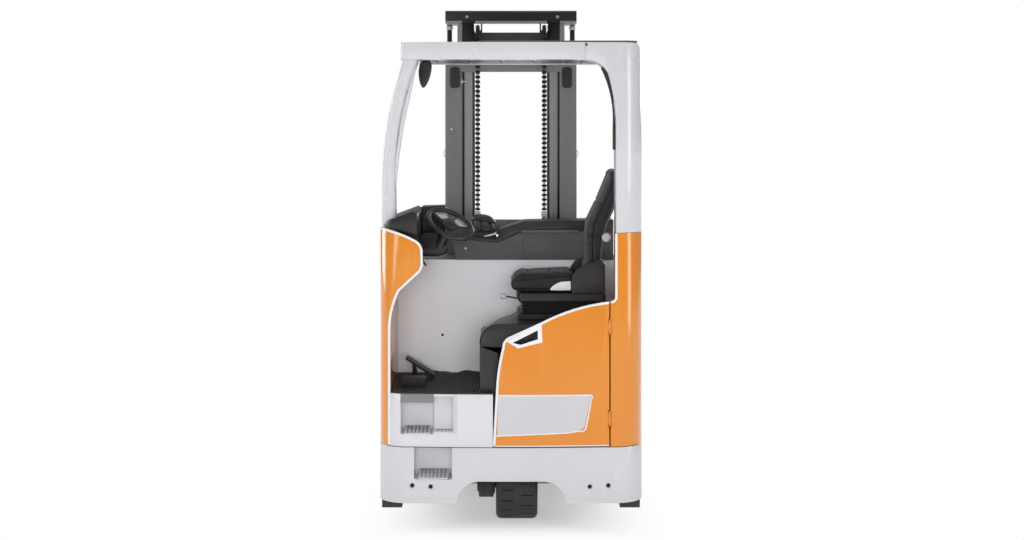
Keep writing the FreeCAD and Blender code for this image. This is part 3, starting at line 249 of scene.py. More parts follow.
def finished(name, effects, values, bump, depth, extra):
    """A material that takes its colour, gloss and relief from a group of effects."""
    made = bpy.data.materials.new(name)
    made.use_nodes = True
    tree = made.node_tree
    shader = tree.nodes["Principled BSDF"]
    group = add_node(tree, "ShaderNodeGroup", values, node_tree=effects)
    tree.links.new(group.outputs["Colour"], shader.inputs["Base Color"])
    tree.links.new(group.outputs["Roughness"], shader.inputs["Roughness"])
    relief = add_node(tree, "ShaderNodeBump", {"Height": group.outputs["Height"],
                                               "Strength": bump, "Distance": depth})
    tree.links.new(relief.outputs[0], shader.inputs["Normal"])
    for label, value in extra.items():
        shader.inputs[label].default_value = value
    return made


def sprayed(name, colour, gloss=(0.25, 0.4), dust=0.25, dust_height=0.5, coat=0.2, bump=0.05,
            metallic=0.0):
    """A painted finish; the paint's own effects come from its group."""
    return finished(name, paint_group, {
        "Colour": (*colour, 1), "Dust": dust, "Dust Height": dust_height, "Gloss Low": gloss[0],
        "Gloss High": gloss[1]}, bump, 0.0006,
        {"Metallic": metallic, "Coat Weight": coat, "Coat Roughness": 0.12})


def tree_of_steps(name, steps):
    """A tree of plain steps, one after the other, from its input to its output."""
    tree = bpy.data.node_groups.new(name, "GeometryNodeTree")
    for way in ("INPUT", "OUTPUT"):
        tree.interface.new_socket("Geometry", in_out=way, socket_type="NodeSocketGeometry")
    last = add_node(tree, "NodeGroupInput").outputs[0]
    for kind, inputs, settings in steps(tree):
        last = add_node(tree, kind, {"Geometry": last, **inputs}, **settings).outputs[0]
    add_node(tree, "NodeGroupOutput", {0: last})
    return tree


weld_tree = tree_of_steps("weld_and_clear", lambda tree: [
    ("GeometryNodeMergeByDistance", {"Distance": 2e-5}, {}),
    ("GeometryNodeRemoveAttribute", {"Name": "custom_normal"}, {})])


def shade_steps(tree):
    """Smooth faces, with a crease where two meet at more than 32 degrees."""
    bend = add_node(tree, "GeometryNodeInputMeshEdgeAngle").outputs[0]
    crease = add_node(tree, "FunctionNodeCompare", {0: bend, 1: math.radians(32)},
                      operation="GREATER_THAN").outputs[0]
    return [("GeometryNodeSetShadeSmooth", {}, {}),
            ("GeometryNodeSetShadeSmooth", {"Selection": crease, "Shade Smooth": False},
             {"domain": "EDGE"})]


shade_tree = tree_of_steps("smooth_and_crease", shade_steps)


def soften_edges(thing, width=0.003, segments=2, windows=False):
    """Rounds a rigid piece's sharp edges by a small width and shades it smooth.  Faces with
    windows in them stay cut in triangles, because one face can't hold a hole."""
    thing.modifiers.new("weld", "NODES").node_group = weld_tree
    if not windows:
        merge = thing.modifiers.new("flat_faces", "DECIMATE")
        merge.decimate_type = "DISSOLVE"
        merge.angle_limit = math.radians(0.4)
    if width:
        edge = thing.modifiers.new("round_edges", "BEVEL")
        edge.width, edge.segments = width, segments
        edge.limit_method, edge.angle_limit = "ANGLE", math.radians(35)
        edge.use_clamp_overlap = False
        edge.miter_outer = "MITER_ARC"
    thing.modifiers.new("shading", "NODES").node_group = shade_tree


def paint(thing, material):
    """Puts one finish on the whole of a piece."""
    thing.data.materials.clear()
    thing.data.materials.append(material)


def coat_nodes(rows, segments=2, windows=()):
    """Paints frame pieces and rounds their edges, from rows of (name, finish, edge width)."""
    for name, coat, edge in rows:
        paint(nodes[name], coat)
        soften_edges(nodes[name], edge, segments, name in windows)


def fitted(thing, coat, body, instead=None):
    """Paints a made piece and names the body that carries it, and the frame piece
    it stands in for, if any."""
    paint(thing, coat)
    if instead:
        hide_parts(instead)
    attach(thing, body)


silver_grey = sprayed("silver_grey", (0.60, 0.60, 0.635), dust=0.16, dust_height=0.35)
step_grey = sprayed("step_grey", (0.645, 0.645, 0.68), dust=0.10, dust_height=0.35)
# Painted light: the battery wall is paler and bluer than the frame, to make up for the shade and the
# orange bounce inside the cab.
wall_grey_painted_paler = sprayed("wall_grey_painted_paler", (0.88, 0.90, 0.95), dust=0.10, dust_height=0.7, coat=0.1)
coat_nodes((("base_frame", silver_grey, 0.0022), ("step_housing", step_grey, 0.0022),
            ("battery_wall", wall_grey_painted_paler, 0.002)))


half_width = -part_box("base_frame")[0].x
corner_depth, bow, corner_run = 0.190, 0.022, 0.166


def circle_through(a, b, c):
    """Centre and radius of the circle through three points of the plan."""
    (ax, ay), (bx, by), (cx, cy) = a, b, c
    d = 2 * (ax * (by - cy) + bx * (cy - ay) + cx * (ay - by))
    ux = ((ax * ax + ay * ay) * (by - cy) + (bx * bx + by * by) * (cy - ay)
          + (cx * cx + cy * cy) * (ay - by)) / d
    uy = ((ax * ax + ay * ay) * (cx - bx) + (bx * bx + by * by) * (ax - cx)
          + (cx * cx + cy * cy) * (bx - ax)) / d
    return (ux, uy), math.hypot(ax - ux, ay - uy)


bow_circle = circle_through((-half_width + corner_run, bow), (0, 0), (half_width - corner_run, bow))
corner_circle = circle_through((half_width - corner_run, bow),
                               (half_width - 0.05, 0.27 * corner_depth),
                               (half_width, corner_depth))


def skin_y(x):
    """How far forward the rear skin lies at x, in the truck's frame."""
    side = min(abs(x), half_width)
    if side <= half_width - corner_run:
        (ux, uy), r = bow_circle
        return rear_y + uy - math.sqrt(r * r - (side - ux) ** 2)
    (ux, uy), r = corner_circle
    return rear_y + uy - math.sqrt(max(r * r - (side - ux) ** 2, 0))


def turns(count):
    """Even turns once round a circle."""
    return [2 * math.pi * k / count for k in range(count)]


def tube_mesh(name, path, width, depth, closed=False, sides=10):
    """A bead of oval section along a path; width across it, depth towards the rear."""
    points = [Vector(p) for p in path]
    count = len(points)
    vertices, faces = [], []
    for i, here in enumerate(points):
        before = points[i - 1] if i or closed else here
        after = points[(i + 1) % count] if i < count - 1 or closed else here
        run = (after - before).normalized()
        out = Vector((0, -1, 0))
        out = (out - run * out.dot(run)).normalized()
        side = run.cross(out)
        for turn in turns(sides):
            vertices.append(here + side * (width / 2 * math.cos(turn))
                            + out * (depth / 2 * math.sin(turn)))
    for i in range(count if closed else count - 1):
        for k in range(sides):
            a, b = i * sides, ((i + 1) % count) * sides
            faces.append((a + k, b + k, b + (k + 1) % sides, a + (k + 1) % sides))
    if not closed:
        faces.append(tuple(range(sides)))
        faces.append(tuple(range((count - 1) * sides, count * sides))[::-1])
    return recalculated(new_mesh_object(name, vertices, faces))


def recalculated(thing, smooth=True):
    """Faces welded, pointing outwards, and smooth or flat."""
    work = bmesh.new()
    work.from_mesh(thing.data)
    bmesh.ops.remove_doubles(work, verts=work.verts, dist=1e-6)
    bmesh.ops.recalc_face_normals(work, faces=work.faces)
    for face in work.faces:
        face.smooth = smooth
    work.to_mesh(thing.data)
    work.free()
    return thing


def loft(name, rings, capped=True, smooth=True):
    """A skin over rings of points, each ring as long as the others."""
    vertices = [p for ring in rings for p in ring]
    size = len(rings[0])
    faces = []
    for i in range(len(rings) - 1):
        for k in range(size):
            a, b = i * size, (i + 1) * size
            faces.append((a + k, a + (k + 1) % size, b + (k + 1) % size, b + k))
    if capped:
        faces += [tuple(range(size))[::-1], tuple(range(len(vertices) - size, len(vertices)))]
    return recalculated(new_mesh_object(name, vertices, faces), smooth)


def walk(path):
    """Points along an outline of (x, z) corners; an entry of four numbers is an arc through
    its first pair to its second."""
    points, steps = [path[0]], 8
    for step in path[1:]:
        if len(step) == 2:
            points.append(step)
            continue
        start, middle, end = points[-1], step[:2], step[2:]
        (ux, uy), r = circle_through(start, middle, end)
        a, m, b = [math.atan2(p[1] - uy, p[0] - ux) for p in (start, middle, end)]
        turn = (b - a) % (2 * math.pi)
        if (m - a) % (2 * math.pi) > turn:
            turn -= 2 * math.pi
        points += [(ux + r * math.cos(a + turn * k / steps), uy + r * math.sin(a + turn * k / steps))
                   for k in range(1, steps + 1)]
    return points


def evenly(points, pitch):
    """The same line with a point at least every pitch."""
    made = [points[0]]
    for end in points[1:]:
        start = made[-1]
        count = max(1, math.ceil(math.dist(start, end) / pitch))
        made += [tuple(s + (e - s) * k / count for s, e in zip(start, end))
                 for k in range(1, count + 1)]
    return made


def along_skin(path, proud=0.0):
    """An outline of (x, z) laid on the rear skin, proud of it by a little."""
    return [(x, skin_y(x) - proud, z) for x, z in evenly(walk(path), 0.02)]


# ---------------------------------------------------------------- lip plates under the base
# Two thin bumper plates follow the foot of the base band, left and right of the wheel arch.
# They are the same silver steel, butted with a fine seam, and stand a hair proud.
skirt_low, lip_high, lip_proud, arch_half = 0.118, 0.138, 0.0015, 0.258
for name, low, high in (("left_lip_outer", -half_width + 0.16, -0.347),
                        ("left_lip_inner", -0.344, -arch_half - 0.004),
                        ("right_lip_inner", arch_half + 0.004, 0.330),
                        ("right_lip_outer", 0.333, half_width - 0.16)):
    lip = loft(name, [[(x, skin_y(x) + 0.002, lip_high), (x, skin_y(x) - lip_proud, lip_high - 0.002),
                       (x, skin_y(x) - lip_proud, skirt_low + 0.001), (x, skin_y(x) + 0.002, skirt_low)]
                      for x, _ in evenly([(low, 0), (high, 0)], 0.02)], smooth=False)
    fitted(lip, silver_grey, "chassis")


# ---------------------------------------------------------------- step treads
# Pressed steel plates in the two steps, full of raised tear drops that grip a wet sole.
# Each drop is a small dome, set in rows that alternate their lean.
def plain_copy(thing, name):
    """A new object from a piece with its modifiers worked in; the old one goes."""
    seen = bpy.context.evaluated_depsgraph_get()
    made = object_of(name, bpy.data.meshes.new_from_object(thing.evaluated_get(seen)))
    bpy.data.objects.remove(thing)
    return made


def instanced(name, points, material, small):
    """One plain mesh of a small mesh set on every point, each with its point's own turn."""
    cloud = new_mesh_object(name + "_places", [p[0] for p in points], [])
    turns = cloud.data.attributes.new("turn", "FLOAT_VECTOR", "POINT")
    for slot, place in zip(turns.data, points):
        slot.vector = place[1]
    tree = bpy.data.node_groups.new(name, "GeometryNodeTree")
    tree.interface.new_socket("Geometry", in_out="INPUT", socket_type="NodeSocketGeometry")
    tree.interface.new_socket("Geometry", in_out="OUTPUT", socket_type="NodeSocketGeometry")
    given = add_node(tree, "NodeGroupInput")
    one = add_node(tree, "GeometryNodeObjectInfo", {"Object": small})
    turn = add_node(tree, "GeometryNodeInputNamedAttribute", {"Name": "turn"},
                    data_type="FLOAT_VECTOR")
    set_out = add_node(tree, "GeometryNodeInstanceOnPoints", {
        "Points": given.outputs["Geometry"], "Instance": one.outputs["Geometry"],
        "Rotation": turn.outputs[0]})
    real = add_node(tree, "GeometryNodeRealizeInstances", {"Geometry": set_out.outputs[0]})
    coat = add_node(tree, "GeometryNodeSetMaterial", {"Geometry": real.outputs[0],
                                                      "Material": material})
    add_node(tree, "NodeGroupOutput", {0: coat.outputs[0]})
    cloud.modifiers.new("repeat", "NODES").node_group = tree
    made = plain_copy(cloud, name)
    bpy.data.objects.remove(small)
    paint(made, material)
    return made


def joined(name, *things):
    """One object from several, each at the origin."""
    work = bmesh.new()
    for thing in things:
        work.from_mesh(thing.data)
    mesh = bpy.data.meshes.new(name)
    work.to_mesh(mesh)
    work.free()
    for thing in things:
        bpy.data.objects.remove(thing)
    return object_of(name, mesh)


def round_ring(sides, z, right, left, steps):
    """A level ring round a box given by its sides in plan, with a radius for the corners on
    its right and one for those on its left."""
    x0, x1, y0, y1 = sides
    ring = []
    for cx, cy, r, start in ((x1 - right, y1 - right, right, 0), (x0 + left, y1 - left, left, 1),
                             (x0 + left, y0 + left, left, 2), (x1 - right, y0 + right, right, 3)):
        ring += [(cx + r * math.cos(math.pi / 2 * (start + k / steps)),
                  cy + r * math.sin(math.pi / 2 * (start + k / steps)), z)
                 for k in range(steps + 1)]
    return ring


def rounded_plate(name, low, high, radius, edge=0.0015, corner_steps=5):
    """A flat plate between two corners, its corners round in plan and its edges soft."""
    (x0, y0, z0), (x1, y1, z1) = low, high
    rings = []
    for inset, z in ((edge, z0), (0, z0 + edge), (0, z1 - edge), (edge, z1)):
        r = max(radius - inset, 0.0005)
        rings.append(round_ring((x0 + inset, x1 - inset, y0 + inset, y1 - inset), z, r, r,
                                corner_steps))
    return loft(name, rings)


tread_steel = sprayed("tread_steel", (0.60, 0.60, 0.62), gloss=(0.3, 0.5), dust=0.25,
                      dust_height=0.7)
drop_dark = sprayed("drop_dark", (0.045, 0.046, 0.048), gloss=(0.3, 0.5), dust=0.2, dust_height=0.7)
tread_plates = [((-0.514, rear_y + 0.016, 0.449), (-0.388, rear_y + 0.140, 0.4545), 0.13),
                ((-0.368, rear_y + 0.016, 0.448), (-0.282, rear_y + 0.090, 0.4535), 0.12),
                ((-0.446, rear_y + 0.016, 0.233), (-0.300, rear_y + 0.124, 0.2385), 0.25)]
plates, drop_places = [], []
drop_apart, drop_row = 0.0185, 0.0165
for low, high, slope in tread_plates:
    plate = rounded_plate("tread_plate", low, high, 0.012)
    for vertex in plate.data.vertices:
        vertex.co.z += (vertex.co.y - low[1]) * slope
    plates.append(plate)
    columns = round((high[0] - low[0] - 0.016) / drop_apart)
    rows = round((high[1] - low[1] - 0.010) / drop_row)
    for row in range(rows):
        for column in range(columns):
            lean = math.radians(38 if (row + column) % 2 else -38)
            along = low[1] + 0.012 + row * drop_row
            drop_places.append(((low[0] + 0.017 + column * drop_apart, along,
                                 high[2] + (along - low[1]) * slope), (slope, 0, lean)))
drop = loft("tear_drop", [[(s * 0.0072 * math.cos(t) * (1 - 0.25 * math.sin(t)),
                            s * 0.0030 * math.sin(t), h)
                           for t in turns(8)]
                          for s, h in ((1.0, -0.0003), (0.8, 0.0011), (0.35, 0.0017))])
drops = instanced("tread_drops", drop_places, drop_dark, drop)
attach(drops, "chassis")
treads = joined("step_tread_plates", *plates)
fitted(treads, tread_steel, "chassis", instead="step_treads")


# ---------------------------------------------------------------- orange skins
# Moulded and sprayed panels: the driver's side shell, the flat skin opposite, the rear corner
# and the rear door.  Bright gloss orange over a fine orange peel.
orange_coat = sprayed("gloss_orange", (0.70, 0.232, 0.012), gloss=(0.16, 0.26), dust=0.05,
                      dust_height=0.45, coat=0.55, bump=0.035)
coat_nodes((("left_side_panel", orange_coat, 0.004), ("right_side_panel", orange_coat, 0.004),
            ("rear_corner_panel", orange_coat, 0.0015), ("rear_door", orange_coat, 0.0015)))


# ---------------------------------------------------------------- pale edging of the skins
# A soft pale bead is pressed over every free edge of the orange skins: round the driver's
# opening, up the rear column to its belt, and under the door.
edging_pale = sprayed("pale_edging", (0.78, 0.78, 0.79), gloss=(0.3, 0.45), dust=0.10, coat=0.1)
bead_width, bead_depth = 0.0125, 0.007
panel_edge = [(-0.5865, 0.392), (-0.5865, 0.930), (-0.5755, 1.040, -0.5395, 1.1385),
              (-0.4485, 1.2225), (-0.4325, 1.2445, -0.4285, 1.275), (-0.4295, 1.3215),
              (-0.4385, 1.3545, -0.4625, 1.3755), (-0.545, 1.4115, -0.6325, 1.4305)]
door_edge = [(-0.0805, 0.396), (-0.0665, 0.648), (-0.0595, 0.740, -0.0355, 0.867),
             (-0.0215, 0.903, 0.000, 0.916), (0.144, 0.981), (0.300, 1.045, 0.4715, 1.0795)]
corner_edge = [(0.4785, 1.0815), (0.497, 1.0885, 0.5055, 1.106), (0.5055, 1.412)]
door_foot = [(-0.0805, 0.3955), (0.4715, 0.3955)]
for name, outline, body in (("side_panel_bead", panel_edge, "chassis"),
                            ("door_bead", door_edge, "rear_door"),
                            ("corner_bead", corner_edge, "chassis"),
                            ("door_foot_bead", door_foot, "rear_door")):
    width = 0.006 if name == "door_foot_bead" else bead_width
    bead = tube_mesh(name, along_skin(outline), width, bead_depth)
    fitted(bead, edging_pale, body)


# ---------------------------------------------------------------- bare plate and door handle
# A pale plate lies low on the door, blank, with a raised bright rim.  Above it a pale surround
# frames the grip recess, a dark cup that fingers reach into.
def read_off(line, x):
    """The height of a broken line of (x, height) at x; past an end, the height of that end."""
    for (xa, za), (xb, zb) in zip(line, line[1:]):
        if x <= xb:
            return za + (zb - za) * max(x - xa, 0) / (xb - xa)
    return line[-1][1]


def skin_patch(name, top, bottom, proud, thick):
    """A thin plate on the rear skin between a top line and a bottom line of (x, z)."""
    low, high, columns = top[0][0], top[-1][0], 28
    xs = sorted({low + (high - low) * k / columns for k in range(columns + 1)}
                | {p[0] for p in bottom + top if low <= p[0] <= high})
    rings = []
    for x in xs:
        a, b = read_off(top, x), read_off(bottom, x)
        outer, inner = skin_y(x) - proud, skin_y(x) - proud + thick
        rings.append([(x, inner, a), (x, outer, a - 0.0006), (x, outer, b + 0.0006),
                      (x, inner, b)])
    return loft(name, rings, smooth=False)


plate_grey = sprayed("plate_grey", (0.56, 0.56, 0.585), gloss=(0.3, 0.42), dust=0.08, coat=0.1)
plate_top = [(-0.0640, 0.637), (0.384, 0.637)]
plate_foot = [(-0.0715, 0.446), (0.29, 0.460), (0.334, 0.470), (0.352, 0.484), (0.384, 0.637)]
plate = skin_patch("blank_plate", plate_top, plate_foot, 0.0016, 0.003)
fitted(plate, plate_grey, "rear_door")
rim_path = [(-0.0695, 0.6375), (0.374, 0.6375), (0.388, 0.634, 0.386, 0.620), (0.361, 0.489),
            (0.354, 0.472, 0.325, 0.466), (0.270, 0.4575), (-0.0755, 0.4445)]
rim = tube_mesh("plate_rim", along_skin(rim_path, 0.001), 0.007, 0.004)
fitted(rim, edging_pale, "rear_door")

recess = [(0.008, 0.890), (0.128, 0.950), (0.129, 0.907), (0.046, 0.880)]
surround = [(-0.022, 0.897), (0.147, 0.978), (0.150, 0.892), (0.034, 0.863)]


def parted(loop, count):
    """The points of a closed outline, each of its sides in count equal parts."""
    return [(xa + (xb - xa) * k / count, za + (zb - za) * k / count)
            for (xa, za), (xb, zb) in zip(loop, loop[1:] + loop[:1]) for k in range(count)]


def middle_of(outline):
    """The mean of an outline's points."""
    return Vector((sum(p[0] for p in outline) / len(outline),
                   sum(p[1] for p in outline) / len(outline)))


def drawn_in(outline, inset, middle):
    """The points of an outline, each drawn towards a middle by a little."""
    return [Vector(p) + (middle - Vector(p)).normalized() * inset for p in outline]


frame_ring = loft("handle_surround", [
    [(x, skin_y(x) - proud, z) for x, z in parted(loop, 6)]
    for loop, proud in ((surround, -0.001), (surround, 0.0022), (recess, 0.0022),
                        (recess, -0.0038))], capped=False, smooth=False)
fitted(frame_ring, edging_pale, "rear_door")


def plastic_effects():
    """Fine moulded grain, with slow changes of gloss where hands and boots rub."""
    group, given = new_group("plastic_effects", [
        ("Colour", "Color", (0.03, 0.03, 0.03, 1)), ("Rubbed Colour", "Color", (0.1, 0.1, 0.1, 1)),
        ("Rub", "Float", 0.2), ("Grain Scale", "Float", 900.0), ("Gloss Low", "Float", 0.4),
        ("Gloss High", "Float", 0.6)],
        [("Colour", "Color"), ("Roughness", "Float"), ("Height", "Float")])
    place = add_node(group, "ShaderNodeTexCoord").outputs["Object"]
    cells = add_node(group, "ShaderNodeTexVoronoi", {
        "Vector": place, "Scale": given.outputs["Grain Scale"]}, feature="SMOOTH_F1")
    cloud = spread(group, noise(group, place, 5.0, 5.0, 0.6), 0.35, 0.7)
    rubbed = sum_of(group, cloud, given.outputs["Rub"], "MULTIPLY")
    colour = mixed(group, rubbed, given.outputs["Colour"], given.outputs["Rubbed Colour"])
    span = sum_of(group, given.outputs["Gloss High"], given.outputs["Gloss Low"], "SUBTRACT")
    gloss = sum_of(group, sum_of(group, span, cloud, "MULTIPLY"), given.outputs["Gloss Low"])
    height = sum_of(group, cells.outputs["Distance"],
                    noise(group, place, 220.0, 3.0), "ADD")
    add_node(group, "NodeGroupOutput", {0: colour, 1: gloss, 2: height})
    return group


plastic_group = plastic_effects()


def moulded(name, colour, gloss=(0.4, 0.6), rub=0.15, grain=900.0, bump=0.12, lift=0.06):
    """Moulded plastic or rubber; grain is the number of pits per metre."""
    return finished(name, plastic_group, {
        "Colour": (*colour, 1), "Rub": rub, "Grain Scale": grain,
        "Rubbed Colour": (*[c + lift for c in colour], 1), "Gloss Low": gloss[0],
        "Gloss High": gloss[1]}, bump, 0.0004, {})


grip_black = moulded("grip_black", (0.016, 0.016, 0.018), gloss=(0.3, 0.45))
cup_rings = [[(spot.x, skin_y(spot.x) + depth, spot.y)
              for spot in drawn_in(parted(recess, 5), inset, middle_of(recess))]
             for inset, depth in ((-0.0008, -0.0012), (0.002, 0.002), (0.006, 0.021))]
cup = loft("handle_cup", cup_rings, capped=False)
floor_ring = new_mesh_object("cup_floor", cup_rings[-1], [tuple(range(len(cup_rings[-1])))])
cup = recalculated(joined("handle_cup_black", cup, floor_ring))
fitted(cup, grip_black, "rear_door")


# ---------------------------------------------------------------- rear column, guard, pillar
# Fabricated overhead guard in the same silver grey, its rear beam rolled round both corners.
# Flat dark slats fill the roof, and a long round grab rail follows the front pillar.
guard_grey = sprayed("guard_grey", (0.585, 0.585, 0.62), gloss=(0.2, 0.32), dust=0.04, coat=0.4)
slat_grey = sprayed("slat_grey", (0.085, 0.087, 0.087), gloss=(0.35, 0.5), dust=0.1, coat=0.05)
trim_black = moulded("trim_black", (0.02, 0.02, 0.021), gloss=(0.35, 0.5))
coat_nodes((("rear_column", guard_grey, 0.004), ("guard_frame", guard_grey, 0.0015),
            ("a_pillar", guard_grey, 0), ("guard_bars", slat_grey, 0.002),
            ("column_trim", trim_black, 0.0015)))


grab_rail = tube_mesh("pillar_grab_rail", [
    (-0.4594, rear_y + 0.150, 2.238), (-0.4749, rear_y + 0.142, 2.189),
    (-0.4861, rear_y + 0.138, 2.131), (-0.4997, rear_y + 0.135, 2.068),
    (-0.5138, rear_y + 0.135, 2.005), (-0.5289, rear_y + 0.135, 1.932),
    (-0.5406, rear_y + 0.135, 1.859), (-0.5513, rear_y + 0.135, 1.786),
    (-0.5595, rear_y + 0.135, 1.713), (-0.5673, rear_y + 0.135, 1.640),
    (-0.5736, rear_y + 0.135, 1.577), (-0.5810, rear_y + 0.135, 1.552)], 0.019, 0.019, sides=20)
fitted(grab_rail, guard_grey, "chassis")


# ---------------------------------------------------------------- roof cover, bolt and clips
# A thin dark sheet closes the roof from above and shows as a fine line over the rear beam.
# One dark bolt holds the joint of column and beam, and pale clips sit on the slats behind it.
roof_cover = rounded_plate("roof_cover", (-0.155, rear_y + 0.045, 2.3305),
                           (0.612, rear_y + 0.790, 2.3385), 0.05, 0.002)
fitted(roof_cover, slat_grey, "chassis")


def turned_piece(name, centre, way, profile, sides=24):
    """A turned piece: (distance along its axis, radius) pairs about an axis."""
    up = Vector(way).normalized()
    side = up.orthogonal().normalized()
    other = up.cross(side)
    return loft(name, [[Vector(centre) + up * level
                        + (side * math.cos(t) + other * math.sin(t)) * radius
                        for t in turns(sides)] for level, radius in profile])


def bolt_head(name, centre, radius, height, sides=16, tip=0.35):
    """A bolt head that stands out to the rear, round unless sides and tip say otherwise."""
    return turned_piece(name, centre, (0, -1, 0), [
        (-0.001, radius), (height * 0.5, radius), (height * 0.85, radius * 0.86),
        (height, radius * tip)], sides)


fitted(bolt_head("seam_bolt", (0.362, skin_y(0.362) + 0.001, 2.318), 0.007, 0.004),
       slat_grey, "chassis")
clips = [rounded_plate("slat_clip", (x - 0.010, rear_y + 0.118, 2.2470),
                       (x + 0.010, rear_y + 0.172, 2.2496), 0.004, 0.0008)
         for x in (-0.346, -0.189, -0.037, 0.1125, 0.259)]
fitted(joined("slat_clips", *clips), edging_pale, "chassis")


# ---------------------------------------------------------------- floor mat, pedals, stops
# A heavy studded rubber mat runs from the rear edge of the floor to the cab wall, where it is
# too long and rises in waves.  The pedals and the corner stops are rubber-faced too.
mat_rubber = moulded("mat_rubber", (0.017, 0.017, 0.018), gloss=(0.45, 0.65), rub=0.25, lift=0.05)
mat_left, mat_right, mat_top, mat_base = -0.5835, -0.1535, 0.6485, 0.6425
mat_rear, mat_front = rear_y + 0.006, rear_y + 0.668


def held(value):
    """A value kept between 0 and 1."""
    return max(0.0, min(1.0, value))


def mat_height(x, y):
    """Top of the mat: flat, then a wave at the far edge."""
    near_wall = max(0.0, (y - (mat_front - 0.085)) / 0.085) ** 1.6
    wave = max(0.0, 0.5 + 0.5 * math.sin(30.0 * x + 1.2) + 0.25 * math.sin(71.0 * x))
    inside = held((x + 0.44) / 0.05) * held((mat_right - x) / 0.05)
    return mat_top + 0.0125 * near_wall * wave * inside


columns, rows = 64, 72
grid, faces = [], []
for level in (1, 0):
    for j in range(rows + 1):
        for i in range(columns + 1):
            x = mat_left + (mat_right - mat_left) * i / columns
            near = max(mat_rear, skin_y(x) + 0.004)
            y = near + (mat_front - near) * j / rows
            grid.append((x, y, mat_height(x, y) - (0 if level else mat_top - mat_base)))
size = (columns + 1) * (rows + 1)
for level in (0, 1):
    for j in range(rows):
        for i in range(columns):
            a = level * size + j * (columns + 1) + i
            faces.append((a, a + 1, a + columns + 2, a + columns + 1))
edge_loop = list(range(columns + 1))
edge_loop += [j * (columns + 1) + columns for j in range(1, rows + 1)]
edge_loop += [rows * (columns + 1) + i for i in range(columns - 1, -1, -1)]
edge_loop += [j * (columns + 1) for j in range(rows - 1, 0, -1)]
for a, b in zip(edge_loop, edge_loop[1:] + edge_loop[:1]):
    faces.append((a, b, b + size, a + size))
mat_sheet = recalculated(new_mesh_object("mat_sheet", grid, faces))
stud_places = []
stud_apart, stud_row = 0.0195, 0.0190
for row in range(34):
    for column in range(22):
        x = mat_left + 0.012 + stud_apart * column + (stud_apart / 2 if row % 2 else 0)
        y = mat_rear + 0.016 + stud_row * row
        if x < mat_right - 0.006 and y > skin_y(x) + 0.012 and y < mat_front - 0.006:
            lean = math.radians(35 if row % 2 else -35)
            stud_places.append(((x, y, mat_height(x, y)), (0, 0, lean)))
stud = loft("stud", [[(s * 0.0068 * math.cos(t), s * 0.0034 * math.sin(t), h)
                      for t in turns(10)]
                     for s, h in ((1.0, -0.0005), (0.92, 0.0014), (0.6, 0.0022))])
studs = instanced("mat_studs", stud_places, mat_rubber, stud)
mat_strip = rounded_plate("mat_strip", (-0.1545, rear_y + 0.006, mat_base),
                          (-0.0885, rear_y + 0.035, mat_top), 0.003, 0.001)
fitted(joined("rubber_floor_mat", mat_sheet, studs, mat_strip),
       mat_rubber, "chassis", instead="floor_mat")
coat_nodes((("pedals", mat_rubber, 0.003), ("corner_stops", mat_rubber, 0.003)))


# ---------------------------------------------------------------- seat pedestal
# Black grained moulding that carries the seat.  The edge of its near face is well rounded,
# and beside the seat its top falls away towards the cab wall.
housing_black = moulded("housing_black", (0.017, 0.018, 0.0185), gloss=(0.32, 0.5), rub=0.3,
                        grain=700.0, lift=0.03)
housing_side, housing_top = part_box("seat_pedestal")[0].x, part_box("seat_pedestal")[1].z
form = bmesh.new()
form.from_mesh(nodes["seat_pedestal"].data)
form.transform(nodes["seat_pedestal"].matrix_world)
bmesh.ops.remove_doubles(form, verts=form.verts, dist=2e-5)
bmesh.ops.dissolve_limit(form, angle_limit=math.radians(0.4), verts=form.verts,
                         edges=form.edges)
near_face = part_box("seat_pedestal")[0].y + 0.001
fall_depth, fall_rise, fall_start, fall_length = 0.220, 0.118, 0.10, 0.64
near_edge = [e for e in form.edges if all(
    v.co.y < near_face and (v.co.x < housing_side + 0.001 or v.co.z > housing_top - 0.103)
    for v in e.verts)]
bmesh.ops.bevel(form, geom=near_edge, offset=0.024, segments=5, profile=0.5, affect="EDGES")
for place, way in (((-0.100, 0, 0), (1, 0, 0)), ((0, 0, 0), (1, 0, 0)), ((0.030, 0, 0), (1, 0, 0)),
                   ((0, rear_y + fall_start, 0), (0, 1, 0)), ((0, rear_y + 0.40, 0), (0, 1, 0)),
                   ((0, 0, housing_top - fall_depth), (0, 0, 1)),
                   ((0, 0, housing_top - 0.102), (0, 0, 1))):
    bmesh.ops.bisect_plane(form, geom=[*form.verts, *form.edges, *form.faces],
                           plane_co=place, plane_no=way)
falls = [(-0.150, 0.021), (-0.124, 0.078), (-0.100, 0.073), (-0.056, 0.047), (0.0, 0.024),
         (0.030, 0.0)]
for vertex in form.verts:
    x, y, z = vertex.co
    if x >= falls[0][0] - 0.001:
        fall = read_off(falls, x) * held((z - housing_top + fall_depth) / fall_rise)
        vertex.co.z -= fall * held((y - rear_y - fall_start) / fall_length)
bmesh.ops.recalc_face_normals(form, faces=form.faces)
housing_mesh = bpy.data.meshes.new("pedestal_moulding")
form.to_mesh(housing_mesh)
form.free()
pedestal_moulding = object_of("pedestal_moulding", housing_mesh)
soften_edges(pedestal_moulding, 0.004)
fitted(pedestal_moulding, housing_black, "chassis", instead="seat_pedestal")


